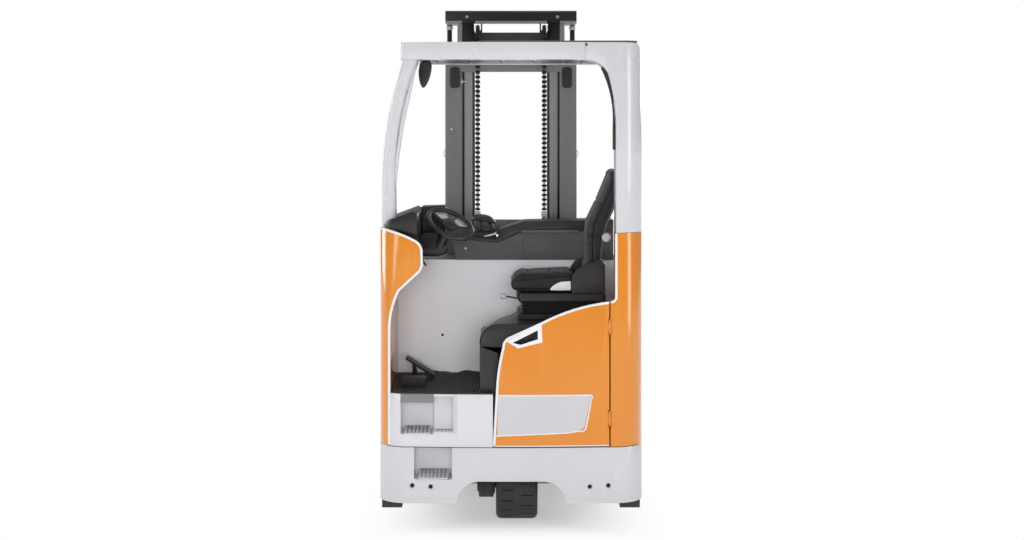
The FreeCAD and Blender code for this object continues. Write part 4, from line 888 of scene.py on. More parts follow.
# ---------------------------------------------------------------- seat base
# Sprung base under the seat: a rail frame, a folded rubber bellows and a black steel tray.
# A grey pull knob stands out beside the tray, and a round one at the side of the backrest.
seat_black = moulded("seat_black", (0.016, 0.017, 0.0175), gloss=(0.3, 0.45), rub=0.2)
seat_mid, seat_back, seat_front = 0.176, rear_y + 0.205, rear_y + 0.635
rail_level, plate_level = 0.972, 1.104
base_parts = [rounded_plate("seat_rails", (seat_mid - 0.144, seat_back + 0.030, rail_level),
                            (seat_mid + 0.290, seat_front - 0.030, rail_level + 0.026), 0.012,
                            0.004, 6)]
for level in (rail_level + 0.006, rail_level + 0.017):
    base_parts.append(rounded_plate("rail_line", (seat_mid - 0.146, seat_back + 0.0285, level),
                                    (seat_mid + 0.290, seat_front - 0.0285, level + 0.004),
                                    0.012, 0.001, 6))
fold_steps, fold_depth = 4 * 8, 0.010
low, high = rail_level + 0.026, plate_level - 0.042
rings = []
for k in range(fold_steps + 1):
    r = 0.006 + fold_depth * (0.5 - 0.5 * math.cos(2 * math.pi * k / 8))
    rings.append(round_ring((seat_mid - 0.112 - r, seat_mid + 0.250 + r, seat_back + 0.068 - r,
                             seat_front - 0.068 + r), low + (high - low) * k / fold_steps, r, r, 4))
base_parts.append(loft("seat_bellows", rings))
plate_rings = []
for inset, z, nose in ((0.004, plate_level - 0.042, 0.006), (0.0, plate_level - 0.038, 0.004),
                       (0.0, plate_level - 0.012, -0.006), (0.003, plate_level - 0.002, 0.004),
                       (0.006, plate_level - 0.0002, 0.010)):
    plate_rings.append(round_ring((seat_mid - 0.144 + nose, seat_mid + 0.290 - inset,
                                   seat_back + 0.016 + inset, seat_front - 0.016 - inset),
                                  z, 0.02, 0.03, 6))
base_parts.append(loft("seat_tray", plate_rings))
stem = tube_mesh("knob_stem", [(seat_mid - 0.136, seat_back + 0.060, plate_level - 0.030),
                               (seat_mid - 0.170, seat_back + 0.060, plate_level - 0.024),
                               (seat_mid - 0.200, seat_back + 0.060, plate_level - 0.020)],
                 0.008, 0.008)
base_parts.append(stem)
seat_underside = joined("seat_underside", *base_parts)
seat_underside.modifiers.new("shading", "NODES").node_group = shade_tree
fitted(seat_underside, seat_black, "chassis", instead="seat_base")

knob_grey = moulded("knob_grey", (0.42, 0.42, 0.43), gloss=(0.35, 0.5), rub=0.2)


pull_knob = turned_piece("seat_pull_knob", (seat_mid - 0.198, seat_back + 0.060, plate_level - 0.020),
                         (-1, 0, 0.1), [(0, 0.010), (0.004, 0.0145), (0.010, 0.0155), (0.024, 0.0150),
                                        (0.031, 0.0125), (0.033, 0.008)])
fitted(pull_knob, knob_grey, "chassis")
side_knob = turned_piece("seat_side_knob", (0.468, seat_back + 0.023, 1.379), (0, -1, 0),
                         [(-0.002, 0.008), (0.004, 0.008), (0.005, 0.019), (0.009, 0.0225),
                          (0.022, 0.0220), (0.028, 0.018), (0.030, 0.012)])
fitted(side_knob, knob_grey, "chassis")


# ---------------------------------------------------------------- seat cushion and backrest
# Foam pads, plump under a black woven cover.  Sewn seams part the side rolls from the middle,
# a crease runs round the flanks, and a pale wedge is let into each flank of the cushion.
def fabric_effects():
    """Plain weave over soft folds: thread bands on all three axes, and worn, greyer patches."""
    group, given = new_group("fabric_effects", [
        ("Colour", "Color", (0.02, 0.02, 0.02, 1)), ("Worn Colour", "Color", (0.06, 0.06, 0.06, 1)),
        ("Threads", "Float", 420.0), ("Wear", "Float", 0.3)],
        [("Colour", "Color"), ("Roughness", "Float"), ("Height", "Float")])
    place = add_node(group, "ShaderNodeTexCoord").outputs["Object"]
    bands = []
    for axis in "XYZ":
        wave = add_node(group, "ShaderNodeTexWave", {
            "Vector": place, "Scale": given.outputs["Threads"], "Distortion": 0.4,
            "Detail Scale": 3.0}, wave_type="BANDS", bands_direction=axis)
        bands.append(wave.outputs["Fac"])
    weave = sum_of(group, sum_of(group, bands[0], bands[1]), bands[2])
    weave = spread(group, weave, 0.6, 2.4)
    worn = sum_of(group, spread(group, noise(group, place, 6.0, 6.0, 0.6), 0.4, 0.75),
                  given.outputs["Wear"], "MULTIPLY")
    colour = mixed(group, worn, given.outputs["Colour"], given.outputs["Worn Colour"])
    colour = mixed(group, spread(group, weave, 0, 1, 0.35, 0.0), colour, (0.004, 0.004, 0.004, 1))
    gloss = spread(group, weave, 0, 1, 0.62, 0.46)
    add_node(group, "NodeGroupOutput", {0: colour, 1: gloss, 2: weave})
    return group


fabric_group = fabric_effects()
seat_cloth = finished("seat_cloth", fabric_group, {
    "Colour": (0.011, 0.012, 0.0125, 1), "Worn Colour": (0.026, 0.028, 0.029, 1)}, 0.25, 0.0005,
    {"Sheen Weight": 0.12, "Sheen Roughness": 0.4})


def foam_pad(name, outline, y_low, y_high, low, high):
    """A plump pad from its side outline, kept between two corners of the space it has."""
    voxel, cap = 0.006, 0.008
    pad = loft(name + "_form", [
        [(spot.x, y, spot.y) for spot in drawn_in(outline, inset, middle_of(outline))]
        for inset, y in ((0.020, y_low), (0.006, y_low + 0.006), (0.0, y_low + 0.020),
                         (0.0, y_high - 0.020), (0.006, y_high - 0.006), (0.020, y_high))])
    remesh = pad.modifiers.new("remesh", "REMESH")
    remesh.mode, remesh.voxel_size = "VOXEL", voxel
    pad = plain_copy(pad, name)
    rest = [v.co.copy() for v in pad.data.vertices]
    cloth = pad.modifiers.new("cloth", "CLOTH")
    cloth.settings.use_pressure = True
    cloth.settings.uniform_pressure_force = 4.0
    cloth.settings.effector_weights.gravity = 0.0
    cloth.point_cache.frame_end = 20
    for frame_number in range(1, 21):
        bpy.context.scene.frame_set(frame_number)
    pad = plain_copy(pad, name)
    bpy.context.scene.frame_set(1)
    for vertex, start in zip(pad.data.vertices, rest):
        move = vertex.co - start
        if move.length > cap:
            vertex.co = start + move * (cap / move.length)
    for vertex in pad.data.vertices:
        vertex.co = [min(max(c, a), b) for c, a, b in zip(vertex.co, low, high)]
    finer = pad.modifiers.new("finer", "SUBSURF")
    finer.levels = finer.render_levels = 1
    return recalculated(plain_copy(pad, name))


def turned_to(lean, start):
    """1 where a cover's face leans a given way, and less down to 0 where it leans by start."""
    return held((lean - start) / 0.3)


def sewn(pad, seams):
    """Presses seams into a pad.  Each seam is (depth, width, distance rule, where rule)."""
    normals = [v.normal.copy() for v in pad.data.vertices]
    for vertex, normal in zip(pad.data.vertices, normals):
        push = 0.0
        for depth, width, distance, where in seams:
            amount = where(vertex.co, normal)
            if amount > 0:
                push += amount * depth * math.exp(-(distance(vertex.co) / width) ** 2)
        vertex.co -= normal * push


cushion_outline = walk([(0.014, 1.118), (0.150, 1.1165), (0.312, 1.1165), (0.322, 1.140),
                        (0.320, 1.186), (0.300, 1.198), (0.200, 1.194), (0.080, 1.187),
                        (0.024, 1.182, 0.002, 1.168), (-0.006, 1.158, -0.005, 1.146),
                        (-0.001, 1.126, 0.014, 1.118)])[:-1]
seat_cushion = foam_pad("seat_cushion_pad", cushion_outline, seat_back + 0.034, seat_front - 0.034,
                        (-0.0135, seat_back + 0.0215, plate_level + 0.0005),
                        (0.3355, seat_front - 0.0215, 1.2175))
seat_centre, middle_half = (seat_back + seat_front) / 2, 0.122
top_side = lambda p, n: turned_to(n.z, 0.35)
top_middle = lambda p, n: top_side(p, n) if abs(p.y - seat_centre) < middle_half else 0
flank = lambda p, n: turned_to(abs(n.y), 0.3) + turned_to(-n.x, 0.5)
sewn(seat_cushion, [
    (0.0075, 0.0055, lambda p: abs(p.y - seat_centre) - middle_half, top_side),
    (0.0055, 0.0050, lambda p: p.x - 0.085, top_middle),
    (0.0055, 0.0050, lambda p: p.x - 0.195, top_middle),
    (0.0070, 0.0050, lambda p: p.z - 1.1676 - (p.x - 0.027) * 0.091, flank),
    (0.0025, 0.0030, lambda p: p.z - 1.1890 + 0.02 * p.x, flank)])
fitted(seat_cushion, seat_cloth, "chassis", instead="seat_cushion")

rest_outline = walk([(0.370, 1.112), (0.369, 1.236), (0.378, 1.250), (0.380, 1.300),
                     (0.379, 1.360), (0.385, 1.440),
                     (0.446, 1.570), (0.492, 1.680), (0.512, 1.712, 0.545, 1.700),
                     (0.566, 1.686, 0.556, 1.650), (0.500, 1.510), (0.460, 1.420),
                     (0.444, 1.340), (0.436, 1.240), (0.436, 1.112)])
backrest = foam_pad("backrest_pad", rest_outline, seat_back + 0.036, seat_front - 0.036,
                    (0.318, seat_back + 0.0255, plate_level + 0.0005),
                    (0.575, seat_front - 0.0255, 1.7255))
for vertex in backrest.data.vertices:
    if vertex.co.z < 1.226:
        vertex.co.x = max(vertex.co.x, 0.3425)


rest_front = [(1.1, 0.368), (1.25, 0.372), (1.36, 0.373), (1.44, 0.380), (1.57, 0.440),
              (1.70, 0.502)]
front_side = lambda p, n: turned_to(-n.x, 0.35)
side_only = lambda p, n: turned_to(abs(n.y), 0.3)
sewn(backrest, [
    (0.0080, 0.0055, lambda p: abs(p.y - seat_centre) - 0.112, front_side),
    (0.0055, 0.0050, lambda p: p.z - 1.33, front_side),
    (0.0055, 0.0050, lambda p: p.z - 1.55, front_side),
    (0.0060, 0.0045, lambda p: p.x - read_off(rest_front, p.z) - 0.034, side_only),
    (0.0050, 0.0045, lambda p: p.z - 1.382, side_only)])
fitted(backrest, seat_cloth, "chassis", instead="seat_backrest")

wedge_line = walk([(0.191, 1.122), (0.196, 1.1185, 0.206, 1.118), (0.294, 1.118), (0.294, 1.163),
                   (0.262, 1.161), (0.222, 1.150, 0.191, 1.122)])[:-1]
for name, face_y, inward in (("near_wedge", seat_back + 0.0205, 1),
                             ("far_wedge", seat_front - 0.0205, -1)):
    wedge = loft(name, [
        [(spot.x, face_y + inward * depth, spot.y)
         for spot in drawn_in(wedge_line, inset, Vector((0.25, 1.138)))]
        for inset, depth in ((0.0, 0.010), (0.0, 0.0006), (0.0012, 0.0), (0.004, -0.0008))])
    fitted(wedge, edging_pale, "chassis")

coat_nodes((("recliner_cover", seat_black, 0.005),), 3)


# ---------------------------------------------------------------- console and hand controls
# Long dark console across the cab: a lighter body with a fine joint, a black shelf over it
# and a slim arm rail.  A palm rest on two stems and a small lever with a ball stand on it.
console_grey = moulded("console_grey", (0.088, 0.092, 0.092), gloss=(0.4, 0.55), rub=0.2,
                       grain=800.0, lift=0.04)
shelf_black = moulded("shelf_black", (0.022, 0.023, 0.024), gloss=(0.28, 0.42), rub=0.3)
gap_black = moulded("gap_black", (0.006, 0.006, 0.006), gloss=(0.6, 0.8), rub=0.0)
coat_nodes((("console", console_grey, 0.004), ("console_tray", shelf_black, 0.004)))
console_face = rear_y + 0.652

for name, (x0, x1), (z0, z1) in (("console_joint", (0.0615, 0.0632), (1.236, 1.366)),
                                 ("arm_rail_joint", (0.052, 0.352), (1.3895, 1.3915))):
    joint = loft(name, [[(x0, y, z0), (x1, y, z0), (x1, y, z1), (x0, y, z1)]
                        for y in (console_face - 0.0004, console_face + 0.004)], smooth=False)
    fitted(joint, gap_black, "chassis")
for name, x, z in (("console_screw_1", -0.234, 1.292), ("console_screw_2", 0.0165, 1.298),
                   ("console_screw_3", 0.100, 1.298), ("wall_screw", -0.355, 0.842)):
    face_y = console_face if z > 1 else rear_y + 0.672
    screw = bolt_head(name, (x, face_y, z), 0.0065, 0.003)
    fitted(screw, gap_black if z < 1 else plate_grey if x < 0 else slat_grey,
           "chassis")

grip_y = rear_y + 0.720


def egg(name, centre, radii, tilt=0.0, squash=1.0):
    """A rounded lump, flatter underneath by squash; tilt leans it across the truck."""
    rings, levels = [], 14
    lean = Matrix.Rotation(tilt, 3, "Y")
    for i in range(1, levels):
        up = -math.cos(math.pi * i / levels)
        wide = math.sin(math.pi * i / levels)
        level = up * radii[2] * (squash if up < 0 else 1.0)
        rings.append([Vector(centre) + lean @ Vector((radii[0] * wide * math.cos(t),
                                                      radii[1] * wide * math.sin(t), level))
                      for t in turns(24)])
    return loft(name, rings)


grip_parts = [
    egg("palm_rest", (-0.148, grip_y, 1.439), (0.060, 0.046, 0.026), tilt=0.10, squash=0.5),
    egg("palm_beak", (-0.106, grip_y - 0.010, 1.432), (0.032, 0.030, 0.012), tilt=0.38),
    tube_mesh("grip_stem", [(-0.158, grip_y, 1.355), (-0.156, grip_y, 1.395), (-0.152, grip_y, 1.436)],
              0.016, 0.022),
    tube_mesh("grip_neck", [(-0.096, grip_y, 1.360), (-0.100, grip_y, 1.392), (-0.112, grip_y, 1.432)],
              0.026, 0.030),
    tube_mesh("grip_hook", [(-0.199, grip_y, 1.362), (-0.202, grip_y, 1.400), (-0.194, grip_y, 1.432)],
              0.014, 0.024),
    egg("grip_foot", (-0.142, grip_y, 1.352), (0.066, 0.044, 0.034)),
    rounded_plate("grip_base", (-0.210, rear_y + 0.674, 1.302), (-0.078, rear_y + 0.778, 1.352),
                  0.018, 0.006)]
for x, y in ((-0.170, 0.700), (-0.142, 0.700)):
    grip_parts.append(turned_piece("rocker", (x, rear_y + y, 1.384), (0, 0, 1),
                                   [(-0.010, 0.008), (0.004, 0.0085), (0.008, 0.006)], 14))
fitted(joined("hand_grip", *grip_parts),
       shelf_black, "chassis", instead="control_levers")
small_lever = joined("small_lever",
                     tube_mesh("lever_rod", [(-0.138, rear_y + 0.676, 1.352),
                                             (-0.108, rear_y + 0.664, 1.360),
                                             (-0.084, rear_y + 0.660, 1.3665)], 0.008, 0.008),
                     turned_piece("lever_ball", (-0.086, rear_y + 0.660, 1.3665), (1, 0, 0.12),
                                  [(0, 0.004), (0.002, 0.0062), (0.005, 0.0072), (0.009, 0.0062),
                                   (0.011, 0.003)], 16))
fitted(small_lever, edging_pale, "chassis")


# ---------------------------------------------------------------- dashboard, column and wheel
# Black moulded dash that laps over the side panel, and a small steering wheel with a padded
# rim and three spokes.  Two pale plates beside its hub are a painted highlight of the glossy rim.
dash_black = moulded("dash_black", (0.014, 0.015, 0.015), gloss=(0.26, 0.42), rub=0.3,
                     grain=750.0, lift=0.03)
coat_nodes((("dashboard", dash_black, 0.006), ("steering_column", dash_black, 0.0015)), 3,
           windows=("dashboard", "steering_column"))
fitted(bolt_head("dash_screw", (-0.487, rear_y + 0.0655, 1.487), 0.008, 0.004),
       gap_black, "chassis")
dash_lever = tube_mesh("dash_lever", [(-0.440, rear_y + 0.150, 1.292), (-0.430, rear_y + 0.150, 1.270),
                                      (-0.414, rear_y + 0.150, 1.246)], 0.011, 0.011)
fitted(dash_lever, dash_black, "chassis")

wheel_axis = Vector((0.40, -0.42, 0.816)).normalized()
wheel_centre = Vector((-0.303, rear_y + 0.330, 1.437))
wheel_turn = Vector((0, 0, 1)).rotation_difference(wheel_axis).to_matrix()
rim_radius, rim_thick = 0.118, 0.013125


def on_wheel(point):
    """A place given on the steering wheel, its axis up, in the truck's frame."""
    return wheel_centre + wheel_turn @ Vector(point)


def spoke(angle, wide, inner, outer, top):
    """A flat spoke that widens to the hub, set at an angle on the wheel."""
    turn = Matrix.Rotation(angle, 3, "Z")
    rings = []
    for r, half, level in ((inner, wide * 0.75, top), (inner + 0.02, wide * 0.55, top),
                           ((inner + outer) / 2, wide * 0.46, top + 0.001),
                           (outer - 0.01, wide * 0.5, top + 0.004), (outer, wide * 0.58, top + 0.005)):
        rings.append([on_wheel(turn @ Vector((r, side * half, level + drop)))
                      for side, drop in ((-1.0, -0.004), (-0.9, 0.0), (0.9, 0.0), (1.0, -0.004),
                                         (0.9, -0.009), (-0.9, -0.009))])
    return loft("spoke", rings)


rim_rings = [[on_wheel(((rim_radius + rim_thick * math.cos(a)) * math.cos(t),
                        (rim_radius + rim_thick * math.cos(a)) * math.sin(t),
                        rim_thick * math.sin(a))) for a in turns(14)] for t in turns(72)]
hub = [[on_wheel((r * math.cos(t), r * math.sin(t), z)) for t in turns(36)]
       for r, z in ((0.030, -0.026), (0.036, -0.022), (0.040, -0.010), (0.041, 0.002), (0.037, 0.008),
                    (0.026, 0.012), (0.012, 0.0135))]
wheel_parts = [loft("wheel_rim", rim_rings + rim_rings[:1], capped=False), loft("wheel_hub", hub)]
for degrees in (25, 155, 270):
    wheel_parts.append(spoke(math.radians(degrees), 0.030, 0.030, rim_radius - 0.002, -0.004))
fitted(joined("driver_wheel", *wheel_parts),
       shelf_black, "steering_wheel", instead="steering_wheel")
# Painted highlight: two pale crescents inside the rim stand in for the gleam of the glossy rim.
rim_highlight_plates = []
for start, end in ((28, 72), (108, 152)):
    rings = []
    for k in range(9):
        a = math.radians(start + (end - start) * k / 8)
        rings.append([on_wheel((r * math.cos(a), r * math.sin(a), z))
                      for r, z in ((0.050, -0.006), (0.050, -0.002), (0.100, 0.001), (0.100, -0.003))])
    rim_highlight_plates.append(loft("wheel_inlay", rings))
fitted(joined("wheel_inlays", *rim_highlight_plates), plate_grey, "steering_wheel")


knee_roll = tube_mesh("knee_roll", [(-0.600, rear_y + 0.600, 1.273), (-0.380, rear_y + 0.600, 1.273),
                                    (-0.352, rear_y + 0.600, 1.279), (-0.338, rear_y + 0.600, 1.300)],
                      0.040, 0.030, sides=18)
fitted(knee_roll, dash_black, "chassis")


# ---------------------------------------------------------------- lashing holes, seam, step strips
# Four blind holes in the base take the hooks of lashing straps; a black disc inside each is painted
# shade for the depth of the hole.
# A fine dark seam runs along the top of the base band, a dark grey plate at the top of the left
# step is painted shade under the overhanging floor, and a paler post stands at the step's inner side.
# Painted shade: black discs inside the lashing holes make them look deep.
hole_shade_discs = [turned_piece("lashing_plug", (x, rear_y + seat + 0.004, z), (0, -1, 0),
                      [(0, 0.0094), (0.002, 0.0094), (0.003, 0.0075)], 20)
         for x, z, seat in ((-0.474, 0.202, 0.026), (-0.385, 0.198, 0.018),
                            (0.378, 0.198, 0.018), (0.467, 0.202, 0.026))]
fitted(joined("lashing_plugs", *hole_shade_discs), gap_black, "chassis")
seam = tube_mesh("band_seam", along_skin([(-0.595, 0.3877), (0.615, 0.3877)], 0.0002),
                 0.0026, 0.0016)
fitted(seam, gap_black, "chassis")
# Painted shade: the dark grey plate over the top of the left step stands for the shadow under the
# floor's overhang.
step_shade_grey = sprayed("step_shade_grey", (0.20, 0.202, 0.21), dust=0.15, dust_height=0.8)
shade_plate = skin_patch("step_flap", [(-0.529, 0.6415), (-0.369, 0.6415)],
                  [(-0.529, 0.600), (-0.369, 0.600)], 0.0008, 0.003)
post = skin_patch("step_post", [(-0.2757, 0.6400), (-0.2610, 0.6400)],
                  [(-0.2757, 0.452), (-0.2610, 0.452)], 0.0008, 0.003)
fitted(shade_plate, step_shade_grey, "chassis")
fitted(post, plate_grey, "chassis")


# ---------------------------------------------------------------- mirror
# A small black tear-shaped shell that hangs under the guard, its back towards the rear.
shell_rings = []
for level, half in ((0.0, 0.003), (0.006, 0.010), (0.020, 0.0175), (0.040, 0.0250), (0.062, 0.0300),
                    (0.084, 0.0322), (0.104, 0.0318), (0.120, 0.0285), (0.130, 0.022), (0.1335, 0.013)):
    shell_rings.append([(-0.4265 + 0.10 * (level - 0.06) + half * math.cos(t),
                         rear_y + 0.251 + 0.0105 * math.sin(t) * min(1.0, half / 0.02),
                         2.115 + level) for t in turns(28)])
fitted(loft("mirror_shell", shell_rings), dash_black, "chassis", instead="mirror")


# ---------------------------------------------------------------- battery and hood
# A closed steel battery tray in satin dark grey, under a moulded hood that also fills the
# space behind the mast's rails.
dark_steel = sprayed("dark_steel", (0.085, 0.088, 0.086), gloss=(0.36, 0.52), dust=0.35,
                     dust_height=0.8, coat=0.05, bump=0.08)
hood_grey = moulded("hood_grey", (0.085, 0.088, 0.088), gloss=(0.4, 0.58), rub=0.2, lift=0.04)
coat_nodes((("battery", dark_steel, 0.006), ("battery_hood", hood_grey, 0.005)), 3)
lifting_eyes = []
battery_low, battery_high = [Vector(c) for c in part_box("battery")]
for sign in (-1, 1):
    for y in (battery_low.y + 0.06, battery_high.y - 0.06):
        ring = [(sign * (battery_high.x - 0.0005), y + 0.016 * math.cos(t),
                 battery_high.z - 0.075 + 0.016 * math.sin(t)) for t in turns(24)]
        lifting_eyes.append(tube_mesh("lifting_eye", ring, 0.006, 0.006, closed=True))
fitted(joined("battery_eyes", *lifting_eyes), tread_steel, "chassis")


# ---------------------------------------------------------------- drive motor and gearbox
# Finned upright motor in its bay, and the black cast gear housing that turns under it with
# its sump.  The wheel's hub is bare turned steel.
cast_black = sprayed("cast_black", (0.010, 0.0108, 0.0108), gloss=(0.42, 0.6), dust=0.12,
                     dust_height=0.35, coat=0.0, bump=0.35)
bare_steel = sprayed("bare_steel", (0.42, 0.42, 0.43), gloss=(0.28, 0.42), dust=0.15, coat=0.0,
                     metallic=0.9)
coat_nodes((("drive_motor", dark_steel, 0.002), ("drive_hub", bare_steel, 0.002)),
           windows=("drive_motor",))
coat_nodes((("drive_gearbox", cast_black, 0.006),), 3)

sump_rings = []
for y, inset in ((0.155, 0.010), (0.163, 0.002), (0.185, 0.0), (0.275, 0.0), (0.300, 0.004),
                 (0.308, 0.012)):
    sump_rings.append([(x, rear_y + y, z) for x, z in (
        (-0.140 + inset, 0.215), (-0.140 + inset, 0.180), (-0.133 + inset, 0.152),
        (-0.119 + inset, 0.124 + inset), (-0.085, 0.124 + inset), (-0.0775, 0.142), (-0.0775, 0.215))])
gear_sump = loft("gear_sump", sump_rings)
soften_edges(gear_sump, 0.0025)
fitted(gear_sump, cast_black, "drive_unit")


# ---------------------------------------------------------------- drive tyre
# Solid traction tyre with round shoulders.  Short cuts run across the tread from near each
# shoulder, the two sides half a pitch apart.
tyre_black = moulded("tyre_black", (0.012, 0.0127, 0.0127), gloss=(0.5, 0.72), rub=0.4, grain=420.0,
                     bump=0.25, lift=0.03)
tyre_left, tyre_y, tyre_radius = -0.0735, rear_y + 0.236, 0.180
cut_depth, cut_count, cut_half, half_pitch = 0.0075, 20, 0.7, 9
left_cut, right_cut = (0.030, 0.084), (0.125, 0.177)
across = [(0.0004, 0.1185), (0.0004, 0.157), (0.0035, 0.1665), (0.010, 0.1745), (0.019, 0.1790),
          (0.0285, 0.1798), (left_cut[0], 0.1799), (left_cut[1], 0.1800), (0.0855, 0.1800),
          (0.1235, 0.1800), (right_cut[0], 0.1800), (right_cut[1], 0.1799), (0.1785, 0.1797),
          (0.186, 0.1785), (0.194, 0.1740), (0.200, 0.1665), (0.2026, 0.157), (0.2026, 0.1185)]
stops = []
for k in range(cut_count):
    for offset in (-0.95, -0.65, 0.65, 0.95, 4.5, 8.05, 8.35, 9.65, 9.95, 13.5):
        stops.append((k * 360 / cut_count + offset - 2, offset))
rings = []
for x, r in across:
    ring = []
    for turn, offset in stops:
        in_left = left_cut[0] <= x <= left_cut[1] and abs(offset) < cut_half
        in_right = right_cut[0] <= x <= right_cut[1] and abs(offset - half_pitch) < cut_half
        radius = r - (cut_depth if in_left or in_right else 0.0)
        a = math.radians(turn)
        ring.append((tyre_left + x, tyre_y + radius * math.sin(a),
                     tyre_radius + radius * math.cos(a)))
    rings.append(ring)
rings.append(rings[0])
traction_tyre = loft("traction_tyre", rings, capped=False)
traction_tyre.modifiers.new("shading", "NODES").node_group = shade_tree
fitted(traction_tyre, tyre_black, "drive_wheel", instead="drive_tyre")


# ---------------------------------------------------------------- mast
# Three pairs of rolled rails in satin dark grey, with a crosshead and black brackets.  Two
# bolts hold the crosshead, and pale ends sit on the lift rods.  Small hooks and rings on the
# outer rails are there for wires and hoses.
mast_grey = sprayed("mast_grey", (0.150, 0.157, 0.153), gloss=(0.34, 0.5), dust=0.12,
                    dust_height=1.2, coat=0.12, bump=0.06)
mast_dark = sprayed("mast_dark", (0.050, 0.053, 0.052), gloss=(0.34, 0.5), dust=0.1,
                    dust_height=1.2, coat=0.12, bump=0.06)
rod_chrome = sprayed("rod_chrome", (0.72, 0.72, 0.74), gloss=(0.08, 0.16), dust=0.0, coat=0.0,
                     bump=0.01, metallic=1.0)
rail_paint = sprayed("rail_paint", (0.24, 0.246, 0.243), gloss=(0.34, 0.5), dust=0.0, coat=0.12,
                     bump=0.06)
tree = rail_paint.node_tree
spot = add_node(tree, "ShaderNodeSeparateXYZ",
                {0: add_node(tree, "ShaderNodeTexCoord").outputs["Object"]}).outputs
side = sum_of(tree, spot["X"], 0.0, "ABSOLUTE")
outer_top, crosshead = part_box("outer_mast")[1].z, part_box("middle_mast")[1].z - 0.055
# Painted shade: near-black strips along both edges of the middle rails' rear flange, and the whole
# flange above the outer mast's top, stand in for the shade between the rails.  Above the crosshead the
# rail is near black all over.
shade_lines = sum_of(tree, spread(tree, side, 0.2505, 0.2515), spread(tree, side, 0.2085, 0.2075))
painted_shade_strips = sum_of(tree, sum_of(tree, shade_lines, spread(tree, spot["Z"], outer_top - 0.01, outer_top)),
                 spread(tree, side, 0.2645, 0.2635), "MULTIPLY")
painted_shade_strips = sum_of(tree, painted_shade_strips, spread(tree, side, 0.1935, 0.1945), "MULTIPLY")
black = sum_of(tree, painted_shade_strips, spread(tree, spot["Z"], crosshead - 0.002, crosshead), "MAXIMUM")
shade = mixed(tree, spread(tree, black, 0.0, 1.0), (0.24, 0.246, 0.243, 1),
              (0.004, 0.0042, 0.0042, 1))
tree.links.new(shade, next(n for n in tree.nodes if n.type == "GROUP").inputs["Colour"])
bracket_black = moulded("bracket_black", (0.009, 0.0095, 0.0095), gloss=(0.4, 0.55), rub=0.1)
coat_nodes((("outer_mast", mast_grey, 0.0025), ("middle_mast", rail_paint, 0.0025),
            ("inner_mast", mast_dark, 0.002), ("mast_brackets", bracket_black, 0.002),
            ("middle_rollers", bare_steel, 0.002), ("inner_rollers", bare_steel, 0.002),
            ("lift_cylinders", mast_dark, 0.0015), ("lift_rods", cast_black, 0.001),
            ("chain_pulleys", mast_dark, 0.001), ("reach_carriage", mast_dark, 0.002),
            ("reach_cylinder", mast_dark, 0.002), ("reach_rod", rod_chrome, 0.001)),
           windows=("reach_cylinder",))
head_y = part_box("middle_mast")[0].y
for name, x, z in (("head_bolt_left", -0.236, 2.510), ("head_bolt_right", 0.250, 2.510)):
    bolt = bolt_head(name, (x, head_y, z), 0.010, 0.006, sides=6, tip=0.8)
    fitted(bolt, bare_steel, "middle_stage")
rod_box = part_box("lift_rods")
rod_x, rod_y = rod_box[1].x - 0.014, (rod_box[0].y + rod_box[1].y) / 2
ends = [turned_piece("rod_end", (sign * rod_x, rod_y, 2.452), (0, 0, 1),
                     [(0, 0.0145), (0.003, 0.0185), (0.009, 0.0205), (0.016, 0.0195),
                      (0.0205, 0.0155)], 28) for sign in (-1, 1)]
fitted(joined("rod_ends", *ends), plate_grey, "middle_stage")
outer_back = rear_y + 1.022
hooks = [tube_mesh("wire_hook", path, 0.005, 0.005, sides=8) for path in (
    [(-0.292, outer_back - 0.008, 2.163), (-0.268, outer_back - 0.010, 2.161),
     (-0.2405, outer_back - 0.008, 2.164)],
    [(-0.2625, outer_back - 0.010, 2.148), (-0.2625, outer_back - 0.011, 2.176)])]
hooks.append(bolt_head("rail_screw", (-0.3215, outer_back, 1.906), 0.0055, 0.003))
for sign in (-1, 1):
    circle = [(sign * 0.343 + 0.019 * math.cos(t), outer_back + 0.020, 1.775 + 0.024 * math.sin(t))
              for t in turns(28)]
    hooks.append(tube_mesh("hose_ring", circle, 0.005, 0.005, closed=True, sides=8))
fitted(joined("mast_fittings", *hooks), plate_grey, "mast_carriage")


# ---------------------------------------------------------------- lift chains
# Leaf chains: waisted plates on pins one inch apart, up from the anchors on the outer mast,
# over the pulleys and down inside the rails.
chain_steel = sprayed("chain_steel", (0.012, 0.012, 0.0115), gloss=(0.35, 0.5), dust=0.0,
                      coat=0.0, metallic=0.2)
chain_x, chain_y = 0.179, rear_y + 1.012
chain_foot_back, chain_foot_front, chain_top, pulley_radius = 1.4725, 0.247, 2.432, 0.030
pitch = 0.0254


def waisted(name, offsets, pins):
    """One chain link along Z from its centre: plates at offsets across, and its two pins."""
    line = []
    for a in turns(16):
        y, z = math.cos(a), math.sin(a)
        wide = 0.0056 - 0.0020 * math.exp(-(z / 0.42) ** 2)
        line.append((wide * y, z * (pitch / 2 + 0.0054)))
    parts = []
    for x in offsets:
        parts.append(loft("plate", [[(x + side, y, z) for y, z in line]
                                    for side in (-0.00085, 0.00085)]))
    for z in (-pitch / 2, pitch / 2):
        rings = [[(x, r * math.cos(t), z + r * math.sin(t)) for t in turns(8)]
                 for x, r in ((-pins, 0.0032), (-pins + 0.0012, 0.0048), (pins - 0.0012, 0.0048),
                              (pins, 0.0032))]
        parts.append(loft("pin", rings))
    return joined(name, *parts)


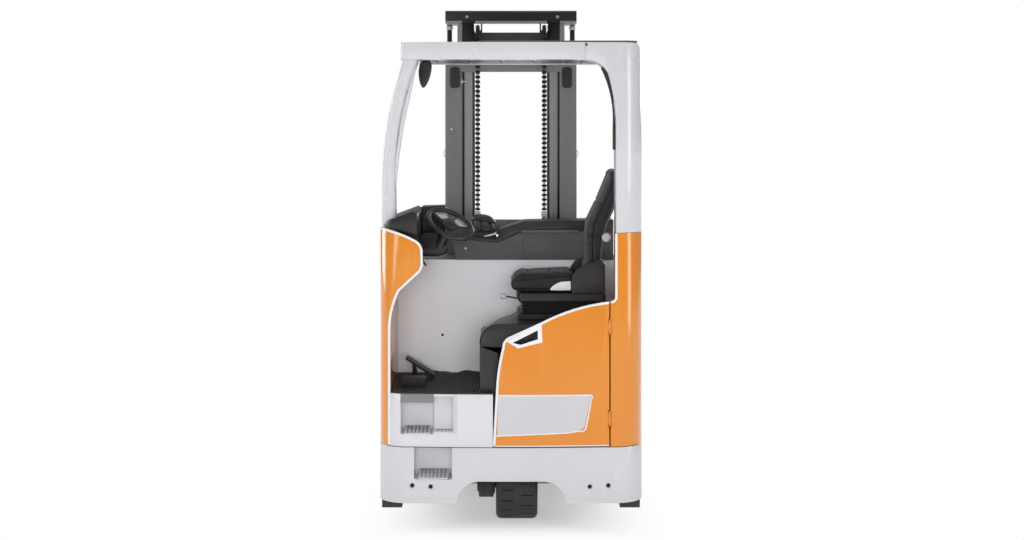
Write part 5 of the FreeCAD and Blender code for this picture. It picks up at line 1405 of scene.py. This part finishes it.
def chain_places(sign):
    """Middles and turns of the links of one chain, with a mark for those on the pulley."""
    arc = math.pi * pulley_radius
    up = chain_top - chain_foot_back
    total = up + arc + chain_top - chain_foot_front
    count = int((total - 0.006) / pitch)
    places = []
    for k in range(count):
        s = 0.006 + pitch * (k + 0.5)
        if s < up:
            spot, lean = (chain_y - pulley_radius, chain_foot_back + s), 0.0
        elif s < up + arc:
            a = (s - up) / pulley_radius
            spot = (chain_y - pulley_radius * math.cos(a), chain_top + pulley_radius * math.sin(a))
            lean = -a
        else:
            spot, lean = (chain_y + pulley_radius, chain_top - (s - up - arc)), 0.0
        bent = up - pitch < s < up + arc + pitch
        places.append((((sign * chain_x, *spot), (lean, 0, 0)), k % 2, bent))
    return places


all_places = chain_places(-1) + chain_places(1)
chain_parts = []
for name, parity, bent, offsets, pins in (
        ("outer_links", 0, False, (-0.0060, -0.0020, 0.0020, 0.0060), 0.0128),
        ("inner_links", 1, False, (-0.0040, 0.0, 0.0040), 0.0122),
        ("outer_links_bent", 0, True, (-0.0056, -0.0019, 0.0019, 0.0056), 0.0069),
        ("inner_links_bent", 1, True, (-0.0037, 0.0, 0.0037), 0.0066)):
    chosen = [place for place, odd, curved in all_places if odd == parity and curved == bent]
    chain_parts.append(instanced(name, chosen, chain_steel, waisted(name + "_one", offsets, pins)))
fitted(joined("leaf_chains", *chain_parts),
       chain_steel, "middle_stage", instead="lift_chains")
anchor_y = outer_back - 0.048
anchors = [rounded_plate("chain_anchor", (sign * chain_x - 0.016, anchor_y - 0.0015, 1.436),
                         (sign * chain_x + 0.016, anchor_y + 0.031, 1.466), 0.003, 0.0015)
           for sign in (-1, 1)]
fitted(joined("chain_anchors", *anchors), plate_grey, "mast_carriage")


# ---------------------------------------------------------------- legs and load wheels
# Box-section reach legs in the mast's dark grey, with hard rubber-coloured load wheels in
# boxes near their tips.
wheel_coat = moulded("load_wheel_coat", (0.030, 0.028, 0.026), gloss=(0.4, 0.6), rub=0.5,
                     grain=500.0)
coat_nodes((("left_reach_leg", dark_steel, 0.0025), ("right_reach_leg", dark_steel, 0.0025),
            ("left_load_wheel", wheel_coat, 0.0015), ("right_load_wheel", wheel_coat, 0.0015)))


# ---------------------------------------------------------------- carriage and forks
# Lift carriage and tilt frame in the mast's dark paint.  The side-shift frame and the forged
# forks are black and a little rougher.
fork_black = sprayed("fork_black", (0.026, 0.027, 0.027), gloss=(0.34, 0.52), dust=0.1, coat=0.1,
                     bump=0.2)
coat_nodes((("lift_carriage", mast_dark, 0.002), ("tilt_frame", mast_dark, 0.002),
            ("side_shift_frame", fork_black, 0.003), ("left_fork", fork_black, 0.0025),
            ("right_fork", fork_black, 0.0025)), windows=("tilt_frame", "side_shift_frame"))
